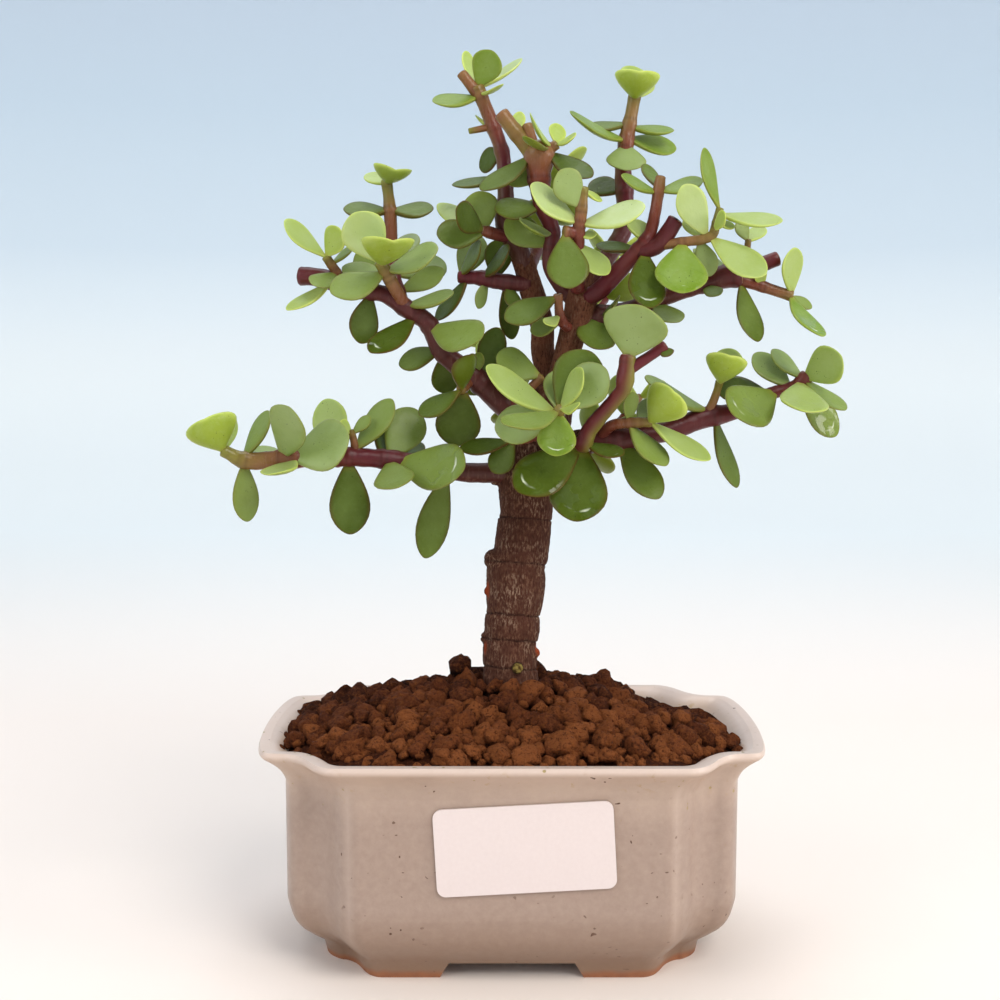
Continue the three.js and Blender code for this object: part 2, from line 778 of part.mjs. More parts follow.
function makeLabel() {
  const w = LABEL.width / 2;
  const h = LABEL.height / 2;
  const r = LABEL.corner;
  const outline = new THREE.Shape()
    .moveTo(-w + r, -h)
    .lineTo(w - r, -h)
    .absarc(w - r, -h + r, r, -Math.PI / 2, 0)
    .lineTo(w, h - r)
    .absarc(w - r, h - r, r, 0, Math.PI / 2)
    .lineTo(-w + r, h)
    .absarc(-w + r, h - r, r, Math.PI / 2, Math.PI)
    .lineTo(-w, -h + r)
    .absarc(-w + r, -h + r, r, Math.PI, Math.PI * 1.5);
  const geometry = new THREE.ExtrudeGeometry(outline, {
    depth: LABEL.thickness,
    bevelEnabled: false,
    curveSegments: 3,
  });
  geometry.rotateZ(THREE.MathUtils.degToRad(LABEL.turn)).rotateX(Math.PI / 2);
  const face = POT_OUTSIDE[5][2];
  geometry.translate(LABEL.x, -face - GAP, LABEL.z);
  return solidOf(geometry);
}

// ---- Soil ---------------------------------------------------------------------------------------
// The pot's inner section at a height.
function insideAt(z) {
  const above = POT_INSIDE.findLastIndex((section) => section[0] >= z);
  const high = POT_INSIDE[Math.min(Math.max(above, 0), POT_INSIDE.length - 2)];
  const low = POT_INSIDE[POT_INSIDE.indexOf(high) + 1];
  const share = Math.min(1, (z - low[0]) / (high[0] - low[0]));
  return [z, ...low.slice(1).map((value, i) => value + (high[i + 1] - value) * share)];
}

// The mound's surface: share is 0 at its middle and 1 at the wall.
const moundHeight = (share) => SOIL_EDGE + (SOIL_CROWN - SOIL_EDGE) * (1 - share ** MOUND_FULLNESS);

function makeGranule(centre, radius, random) {
  const granule = new THREE.BoxGeometry(radius, radius, radius);
  const squash = [0, 1, 2].map(() => 1.25 + 0.5 * random());
  const turn = [0, 1, 2].map(() => Math.PI * random());
  const place = new THREE.Matrix4().makeRotationFromEuler(new THREE.Euler(...turn));
  granule.scale(...squash).applyMatrix4(place).translate(centre.x, centre.y, centre.z);
  return solidOf(granule);
}

function makeSoil(trunkRoom) {
  const bottom = FLOOR_TOP + SCREEN.thickness + 2 * GAP;
  const levels = POT_INSIDE.map(([z]) => z).filter((z) => z > bottom);
  const below = levels.filter((z) => z < SOIL_EDGE).toReversed();
  const lower = [bottom, ...below, SOIL_EDGE].map((z) => potSection(insideAt(z), -GAP));
  const edge = lower[lower.length - 1];
  const upper = [0.85, 0.65, 0.4, 0.2].map((share) =>
    edge.map((p) => v(p.x * share, p.y * share, moundHeight(share))),
  );
  const random = mulberry32(11);
  const pieces = [loft([...lower, ...upper], v(0, 0, bottom), v(0, 0, SOIL_CROWN))];
  const [, halfX, halfY] = insideAt(SOIL_EDGE);
  const rows = Math.floor(halfY / GRANULE.row);
  const columns = Math.floor(halfX / GRANULE.pitch);
  for (let row = -rows; row <= rows; row++) {
    for (let column = -columns; column <= columns; column++) {
      const jitter = () => (random() - 0.5) * GRANULE.jitter;
      const x = (column + (row % 2) * 0.5) * GRANULE.pitch + jitter();
      const y = row * GRANULE.row + jitter();
      const radius = GRANULE.smallest + (GRANULE.largest - GRANULE.smallest) * random();
      const corner = Math.abs(x) / halfX + Math.abs(y) / halfY;
      const share = Math.max(Math.abs(x) / halfX, Math.abs(y) / halfY, corner / 1.5);
      const reachesTrunk = Math.hypot(x, y) < TRUNK[0][1][3] + radius * 0.5;
      if (share > 0.97 || reachesTrunk) continue;
      const sunk = v(x, y, moundHeight(share) - radius * 0.5);
      pieces.push(makeGranule(sunk, radius, random));
    }
  }
  const [bigX, bigDepth, bigZ, bigRadius] = BIG_GRANULE;
  pieces.push(makeGranule(placed(bigX, bigDepth, bigZ), bigRadius, random));
  const room = [bottom - 1, ...levels.toReversed(), RIM_TOP + 40].map((z) => {
    const [, ...size] = insideAt(Math.min(z, RIM_TOP));
    return potSection([z, ...size], -GAP);
  });
  const cavity = loft(room, middle(room[0]), middle(room[room.length - 1]));
  return joined(pieces).intersect(cavity).subtract(trunkRoom);
}

// ---- Wood ---------------------------------------------------------------------------------------
function placed(x, depth, z) {
  const scale = (depth - VIEWPOINT.y) / -VIEWPOINT.y;
  return v(VIEWPOINT.x + (x - VIEWPOINT.x) * scale, depth, VIEWPOINT.z + (z - VIEWPOINT.z) * scale);
}

const realRoute = (route) => route.map(([x, depth, z, radius]) => ({ point: placed(x, depth, z), radius }));

function tube(route, sides, grow = 0) {
  const nodes = realRoute(route);
  const tangents = nodes.map((node, i) => {
    const before = nodes[Math.max(0, i - 1)].point;
    const after = nodes[Math.min(nodes.length - 1, i + 1)].point;
    return after.clone().sub(before).normalize();
  });
  let across = v(0.3, -1, 0.2).cross(tangents[0]).normalize();
  const rings = nodes.map(({ point, radius }, i) => {
    across = across.clone().addScaledVector(tangents[i], -across.dot(tangents[i])).normalize();
    const other = tangents[i].clone().cross(across);
    return Array.from({ length: sides }, (_, k) => {
      const angle = (2 * Math.PI * k) / sides;
      return point
        .clone()
        .addScaledVector(across, (radius + grow) * Math.cos(angle))
        .addScaledVector(other, (radius + grow) * Math.sin(angle));
    });
  });
  const last = nodes.length - 1;
  const first = nodes[0].point.clone().addScaledVector(tangents[0], -grow - nodes[0].radius * 0.3);
  const end = nodes[last].point.clone().addScaledVector(tangents[last], grow + nodes[last].radius * 0.3);
  return loft(rings, first, end);
}

function makeTrunk(grow = 0) {
  const wood = TRUNK.map((route, i) => tube(route, i === 0 ? 12 : 7, grow));
  const knobs = KNOBS.map(([x, depth, z, radius]) => {
    const knob = new THREE.DodecahedronGeometry(radius + grow, 0);
    return solidOf(knob.translate(...placed(x, depth, z)));
  });
  return joined([...wood, ...knobs]);
}

// ---- Leaves -------------------------------------------------------------------------------------
// A leaf's own frame: along the midrib, out of the upper face, and across.
function leafFrame(root, tip, width, upper, cup = LEAF_CUP) {
  const along = tip.clone().sub(root);
  const length = along.length();
  along.divideScalar(length);
  const face = upper.clone().addScaledVector(along, -upper.dot(along)).normalize();
  return { root, along, face, across: face.clone().cross(along), length, width, cup };
}

// The way the upper face looks once it is rolled about the midrib, from facing the front. One seen from
// beneath looks up and back: straight up at 180, to the left below that and to the right above.
function rolledFace(root, tip, roll) {
  if (roll >= FROM_BENEATH) {
    const lean = THREE.MathUtils.degToRad(roll - 180);
    return v(Math.sin(lean), FACE_LIFT, Math.cos(lean));
  }
  const along = tip.clone().sub(root).normalize();
  const front = v(0, -1, FACE_LIFT);
  front.addScaledVector(along, -front.dot(along)).normalize();
  const side = along.clone().cross(front);
  if (side.dot(v(FACE_LIFT, 0, 1)) < 0) side.negate();
  const angle = THREE.MathUtils.degToRad(roll);
  return front.multiplyScalar(Math.cos(angle)).addScaledVector(side, Math.sin(angle));
}

// A point of the leaf's middle surface: t from root to tip, s from edge to edge (-1 to 1).
function leafPoint(leaf, t, s) {
  const half = (leaf.width / 2) * leafHalfWidth(Math.min(t, 1));
  const rise = leaf.cup * half * s * s - LEAF_BOW * leaf.length * Math.sin(Math.PI * t);
  return leaf.root
    .clone()
    .addScaledVector(leaf.along, leaf.length * t)
    .addScaledVector(leaf.across, half * s)
    .addScaledVector(leaf.face, rise);
}

function leafSolid(leaf) {
  const thick = Math.max(THINNEST_LEAF, leaf.width * LEAF_THICKNESS);
  const stations = leaf.width > SMALL_LEAF ? LEAF_STATIONS : SMALL_LEAF_STATIONS;
  const rings = stations.map((t, i) => {
    const half = (thick / 2) * (i === stations.length - 1 ? 0.6 : 1);
    const centre = leafPoint(leaf, t, 0);
    return [
      leafPoint(leaf, t, 1),
      centre.clone().addScaledVector(leaf.face, half),
      leafPoint(leaf, t, -1),
      centre.clone().addScaledVector(leaf.face, -half),
    ];
  });
  return loft(rings, leafPoint(leaf, 0, 0), leafPoint(leaf, 1, 0));
}

// The stem point nearest to (x, z) in the front elevation, with the stem's direction there.
function stemPoint(stems, x, z) {
  let best = { distance: Infinity };
  for (const route of stems) {
    for (let i = 0; i + 1 < route.length; i++) {
      const [ax, ay, az] = route[i];
      const [bx, by, bz] = route[i + 1];
      const share = ((x - ax) * (bx - ax) + (z - az) * (bz - az)) / ((bx - ax) ** 2 + (bz - az) ** 2);
      const k = Math.min(1, Math.max(0, share));
      const px = ax + (bx - ax) * k;
      const pz = az + (bz - az) * k;
      const distance = Math.hypot(px - x, pz - z);
      if (distance < best.distance) best = { distance, x: px, depth: ay + (by - ay) * k, z: pz };
    }
  }
  return best;
}

// ---- Room between leaves ------------------------------------------------------------------------
const CLEARANCE = 0.55;
const ROOT_ZONE = 4.5; // nearer its root than this, a leaf may touch a stem
const STALK_SHARE = 0.12; // of a leaf's length, where others may touch it
const SAMPLE_T = [0.22, 0.38, 0.54, 0.7, 0.85, 1];
const SAMPLE_S = [-1, -0.5, 0, 0.5, 1];
const halfThickness = (leaf) => Math.max(THINNEST_LEAF, leaf.width * LEAF_THICKNESS) / 2;

const samplesOf = (leaf) => SAMPLE_T.flatMap((t) => SAMPLE_S.map((s) => leafPoint(leaf, t, s)));

// How many of the points come too close to the leaf's blade.
function touches(points, leaf, reach) {
  let count = 0;
  for (const point of points) {
    const offset = point.clone().sub(leaf.root);
    const t = offset.dot(leaf.along) / leaf.length;
    if (t < STALK_SHARE || t > 1 + reach / leaf.length) continue;
    const half = (leaf.width / 2) * leafHalfWidth(Math.min(t, 1));
    const s = offset.dot(leaf.across);
    if (Math.abs(s) > half + reach * 0.6) continue;
    const inner = half > 0 ? Math.min(1, Math.abs(s) / half) : 0;
    const sag = LEAF_BOW * leaf.length * Math.sin(Math.PI * Math.min(t, 1));
    const rise = leaf.cup * half * inner * inner - sag;
    if (Math.abs(offset.dot(leaf.face) - rise) < reach) count++;
  }
  return count;
}

function stemTouches(points, leaf, segments) {
  let count = 0;
  for (const { a, b, radius } of segments) {
    const span = b.clone().sub(a);
    for (const point of points) {
      if (point.distanceTo(leaf.root) < ROOT_ZONE) continue;
      const k = Math.min(1, Math.max(0, point.clone().sub(a).dot(span) / span.lengthSq()));
      const distance = point.distanceTo(a.clone().addScaledVector(span, k));
      if (distance < radius + halfThickness(leaf) + CLEARANCE) count++;
    }
  }
  return count;
}

const segmentsOf = (routes) =>
  routes.flatMap((route) => {
    const nodes = realRoute(route);
    return nodes.slice(1).map((node, i) => ({
      a: nodes[i].point,
      b: node.point,
      radius: Math.max(nodes[i].radius, node.radius),
    }));
  });

function crowding(leaf, leaves, segments) {
  const points = samplesOf(leaf);
  let count = stemTouches(points, leaf, segments);
  for (const other of leaves) {
    if (other.root.distanceTo(leaf.root) > leaf.length + other.length) continue;
    const reach = halfThickness(leaf) + halfThickness(other) + CLEARANCE;
    count += touches(points, other, reach) + touches(samplesOf(other), leaf, reach);
  }
  return count;
}

// Each leaf swings forward or back along its sight line, a little at a time, until it is clear of the
// others.
const SWING = 1.4;
const SWINGS = [0, 1, -1, 2, -2, 3, -3, 4, -4, 5, -5, 6, -6, 7, -7, 8, -8];
const TURN = 0.35; // radians
const TURNS = [0, 1, -1, 2, -2];

function settled(steps, make, leaves, segments) {
  let best = { count: Infinity };
  for (const step of steps) {
    const leaf = make(step);
    const count = crowding(leaf, leaves, segments);
    if (count < best.count) best = { count, leaf };
    if (count === 0) break;
  }
  return best;
}

function tableLeaves(spray, leaves, segments) {
  for (const [x, z, tipX, tipZ, behind, width, roll] of spray.leaves) {
    const base = stemPoint(spray.stems, x, z);
    const root = placed(base.x, base.depth, base.z);
    const make = (swing) => {
      const tip = placed(tipX, base.depth + behind + swing * SWING, tipZ);
      const cup = roll >= FROM_BENEATH ? DEEP_CUP : LEAF_CUP;
      return leafFrame(root, tip, width, rolledFace(root, tip, roll), cup);
    };
    leaves.push(settled(SWINGS, make, leaves, segments).leaf);
  }
}

// The point of a stem this far back from its end, and the way the stem runs there.
function stemFromEnd(segments, back) {
  let left = back;
  for (const { a, b } of segments.toReversed()) {
    const length = a.distanceTo(b);
    const ahead = b.clone().sub(a).divideScalar(length);
    if (left <= length) return { root: b.clone().addScaledVector(ahead, -left), ahead };
    left -= length;
  }
  return null;
}

// Leaf pairs up a stem, each pair square to the last; a leaf turns about its stem to find room, or is
// left out.
function pairedLeaves(route, leaves, segments, random) {
  const own = segmentsOf([route]);
  const length = own.reduce((sum, { a, b }) => sum + a.distanceTo(b), 0);
  const pairs = Math.floor((length * PAIRED_SHARE) / PAIR_PITCH);
  for (let pair = 0; pair <= pairs; pair++) {
    const { root, ahead } = stemFromEnd(own, LAST_PAIR + pair * PAIR_PITCH);
    const level = ahead.clone().cross(v(0, 0, 1)).normalize();
    for (const half of [0, 1]) {
      const size = PAIR_LEAF[0] + (PAIR_LEAF[1] - PAIR_LEAF[0]) * random();
      const long = pair === 0 ? size * LAST_PAIR_SIZE : size;
      const rise = PAIR_RISE[Math.min(pair, 1)];
      const turn = (pair % 2) * (Math.PI / 2) + half * Math.PI + (random() - 0.5) * PAIR_WOBBLE;
      const make = (step) => {
        const out = level.clone().applyAxisAngle(ahead, turn + step * TURN);
        const tip = root.clone().addScaledVector(out, long).addScaledVector(ahead, long * rise);
        return leafFrame(root, tip, long * PAIR_WIDTH, ahead);
      };
      const { count, leaf } = settled(TURNS, make, leaves, segments);
      if (count === 0) leaves.push(leaf);
    }
  }
}

function settleLeaves() {
  const stems = Object.values(SPRAYS).map((spray) => spray.stems);
  const segments = [TRUNK, ...stems, Object.values(BACK_SPRAYS)].flatMap(segmentsOf);
  const random = mulberry32(7);
  const leaves = [];
  const bySpray = {};
  for (const [name, spray] of Object.entries(SPRAYS)) {
    const first = leaves.length;
    tableLeaves(spray, leaves, segments);
    bySpray[name] = leaves.slice(first);
  }
  for (const [name, route] of Object.entries(BACK_SPRAYS)) {
    const first = leaves.length;
    pairedLeaves(route, leaves, segments, random);
    bySpray[name] = leaves.slice(first);
  }
  return bySpray;
}

// ---- Assembly -----------------------------------------------------------------------------------
const bonsai = new THREE.Group();

function addMesh(name, solid, colour, roughness) {
  const mesh = solid.getMesh();
  const geometry = new THREE.BufferGeometry();
  geometry.setAttribute("position", new THREE.BufferAttribute(mesh.vertProperties, 3));
  geometry.setIndex(new THREE.BufferAttribute(mesh.triVerts, 1));
  geometry.computeVertexNormals();
  const made = new THREE.Mesh(geometry, new THREE.MeshStandardMaterial({ color: colour, roughness }));
  made.name = name;
  bonsai.add(made);
}

addMesh("pot", makePot(), COLOURS.glaze, 0.35);
addMesh("label", makeLabel(), COLOURS.paper, 0.6);
addMesh("drain_screen_left", makeScreen(-1), COLOURS.screen, 0.6);
addMesh("drain_screen_right", makeScreen(1), COLOURS.screen, 0.6);
addMesh("trunk", makeTrunk(), COLOURS.bark, 0.9);
const trunkRoom = makeTrunk(GAP);
addMesh("soil", makeSoil(trunkRoom), COLOURS.soil, 1);
const leavesBySpray = settleLeaves();
for (const [name, leaves] of Object.entries(leavesBySpray)) {
  const routes = name in SPRAYS ? SPRAYS[name].stems : [BACK_SPRAYS[name]];
  const stems = routes.map((route) => tube(route, STEM_SIDES));
  addMesh(name, joined([...stems, ...leaves.map(leafSolid)]).subtract(trunkRoom), COLOURS.leaf, 0.45);
}

export default bonsai;
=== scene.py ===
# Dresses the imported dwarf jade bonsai: leaves, stems, bark, soil and glaze, with a camera, lights and floor.
# Tables and rules are those of the solids, in millimetres: x right, y away from the front, z up.
import math

import bmesh
import bpy
import numpy as np
from mathutils import Matrix, Vector, noise


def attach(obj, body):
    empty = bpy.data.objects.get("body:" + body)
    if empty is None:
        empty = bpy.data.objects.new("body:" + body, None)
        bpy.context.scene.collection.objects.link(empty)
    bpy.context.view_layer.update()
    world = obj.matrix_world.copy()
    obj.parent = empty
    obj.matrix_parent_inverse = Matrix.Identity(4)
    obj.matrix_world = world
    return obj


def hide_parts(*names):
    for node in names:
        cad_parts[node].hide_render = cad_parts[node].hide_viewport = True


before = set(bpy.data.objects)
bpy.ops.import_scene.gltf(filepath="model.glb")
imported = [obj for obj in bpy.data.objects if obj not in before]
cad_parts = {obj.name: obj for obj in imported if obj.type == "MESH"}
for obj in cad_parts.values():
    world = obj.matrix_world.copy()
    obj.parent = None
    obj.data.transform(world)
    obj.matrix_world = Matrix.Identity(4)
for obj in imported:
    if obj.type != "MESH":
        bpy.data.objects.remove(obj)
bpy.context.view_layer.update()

MM = 0.001
GAP = 0.3
VIEWPOINT = np.array([-3.4, -426.7, 181.8])
CAMERA_DROP = 6.37  # degrees below level
CAMERA_LENS = 51.62
FOOT_HEIGHT = 4.8
FLOOR_TOP = 12
RIM_TOP = 66
# Pot sections: height, half width, half depth, what the corner cut takes off each, a side panel's end radius.
POT_OUTSIDE = [
    (0, 56.5, 33, 17, 12, 5), (5, 57.5, 34, 17.5, 12, 5), (8.5, 61.2, 37.6, 19, 12, 4.6),
    (13, 65.5, 41, 21.4, 12, 4.2), (20, 67.2, 42.6, 22.2, 12, 3.8), (56, 67.2, 42.6, 22.2, 12, 3.8),
    (59.5, 68.8, 43.7, 22.5, 12.4, 3.8), (62.2, 71.6, 46, 22.9, 13.4, 3.8),
    (64.3, 74.8, 48.5, 23.3, 14.6, 3.8), (RIM_TOP, 74.1, 47.8, 23.2, 14.4, 3.6),
]
POT_INSIDE = [
    (RIM_TOP, 71.4, 45.2, 22.6, 14, 3.2), (64.8, 69.2, 43.2, 22, 13.4, 3), (61.5, 65.6, 40.4, 21.2, 12.2, 3),
    (54, 63.2, 38.4, 20.6, 11.4, 3), (20, 62.2, 37.4, 20.6, 11.4, 3), (FLOOR_TOP, 56, 32, 18, 11.4, 3),
]
CORNER_NOTCH = [(0.48, 1), (0.68, 0.76), (0.85, 0.24)]  # points of a notch, as shares of the corner's cut
SIDE_PANEL = [(0.25, 0), (0.68, 0.4)]  # half a side panel: shares of its half length, and of the bulge lost
PANEL_BULGE = 3
LOBE_ROUND = (0.6, 0.7)
PANEL_ROUND = 2
FOOT_WALL = 7.5
FRONT_ARCH = (21.2, 18)
SIDE_ARCH = (10.5, 8.5)
DRAIN_RADIUS = 6
DRAIN_X = 27
SOIL_EDGE = 64
SOIL_CROWN = 77.5
BIG_GRANULE = (-14, 2, 82.3, 6)

TRUNK = [  # the trunk, the left leader, the centre stem, the hollow stub and the swollen joint
    [(0, 0, 58, 9.6), (0, 0, 72, 8.9), (-0.3, 0, 81.5, 8.3), (-0.4, 0, 83, 7.95), (-0.4, 0, 85, 8.2),
     (-0.5, 0, 90, 8), (-0.2, 0, 91.5, 7.75), (0.1, 0, 93.5, 8.2), (0.4, 0, 98.5, 8.3), (0.5, 0, 99.8, 7.95),
     (0.8, 0, 101.5, 8.3), (1.3, 0, 108, 8.9), (1.5, 0, 113.5, 8.8), (2, 0, 115.2, 8.35), (2.9, 0, 118, 8.2),
     (4, 0, 127, 8.1), (4.5, 0, 129.2, 7.65), (4.6, 0, 131.5, 7.9), (4.4, 0, 141, 8.2), (7.4, 0, 151, 8.1),
     (10.6, 0, 160, 7.6), (12, -0.5, 166.5, 6.2)],
    [(11, 0, 158, 4.6), (12, 1.5, 168, 3.9), (9.3, 2, 178, 3.5), (9, 2, 186, 3.5), (6, 1, 196, 3.6),
     (4.6, 1, 201, 3.3), (3, 0.5, 206, 3.3)],
    [(11, -2, 158, 4.6), (13.5, -4, 167, 3.8), (16.5, -5, 178, 3.8), (19.5, -5, 189, 4.2),
     (21, -5, 195.5, 4.6), (21.4, -5, 198.5, 3)],
    [(21.5, -5, 196, 1.8), (24, -6, 204, 1.4)],
    [(10, -2, 147, 5), (17, -9, 150, 4.4), (21, -12, 151.3, 4.1)],
]
KNOBS = [  # burls and scars: x, depth, height, radius
    (-5.2, -2, 116.2, 3.4), (-7.2, 0, 92.2, 2.4), (1.7, -7.2, 82.2, 2), (-6.6, -1, 106.5, 1.8),
    (7, -1.5, 87.6, 1.8), (-4.5, -2, 140.5, 2.2), (21.2, -12.6, 151.2, 4.4),
]
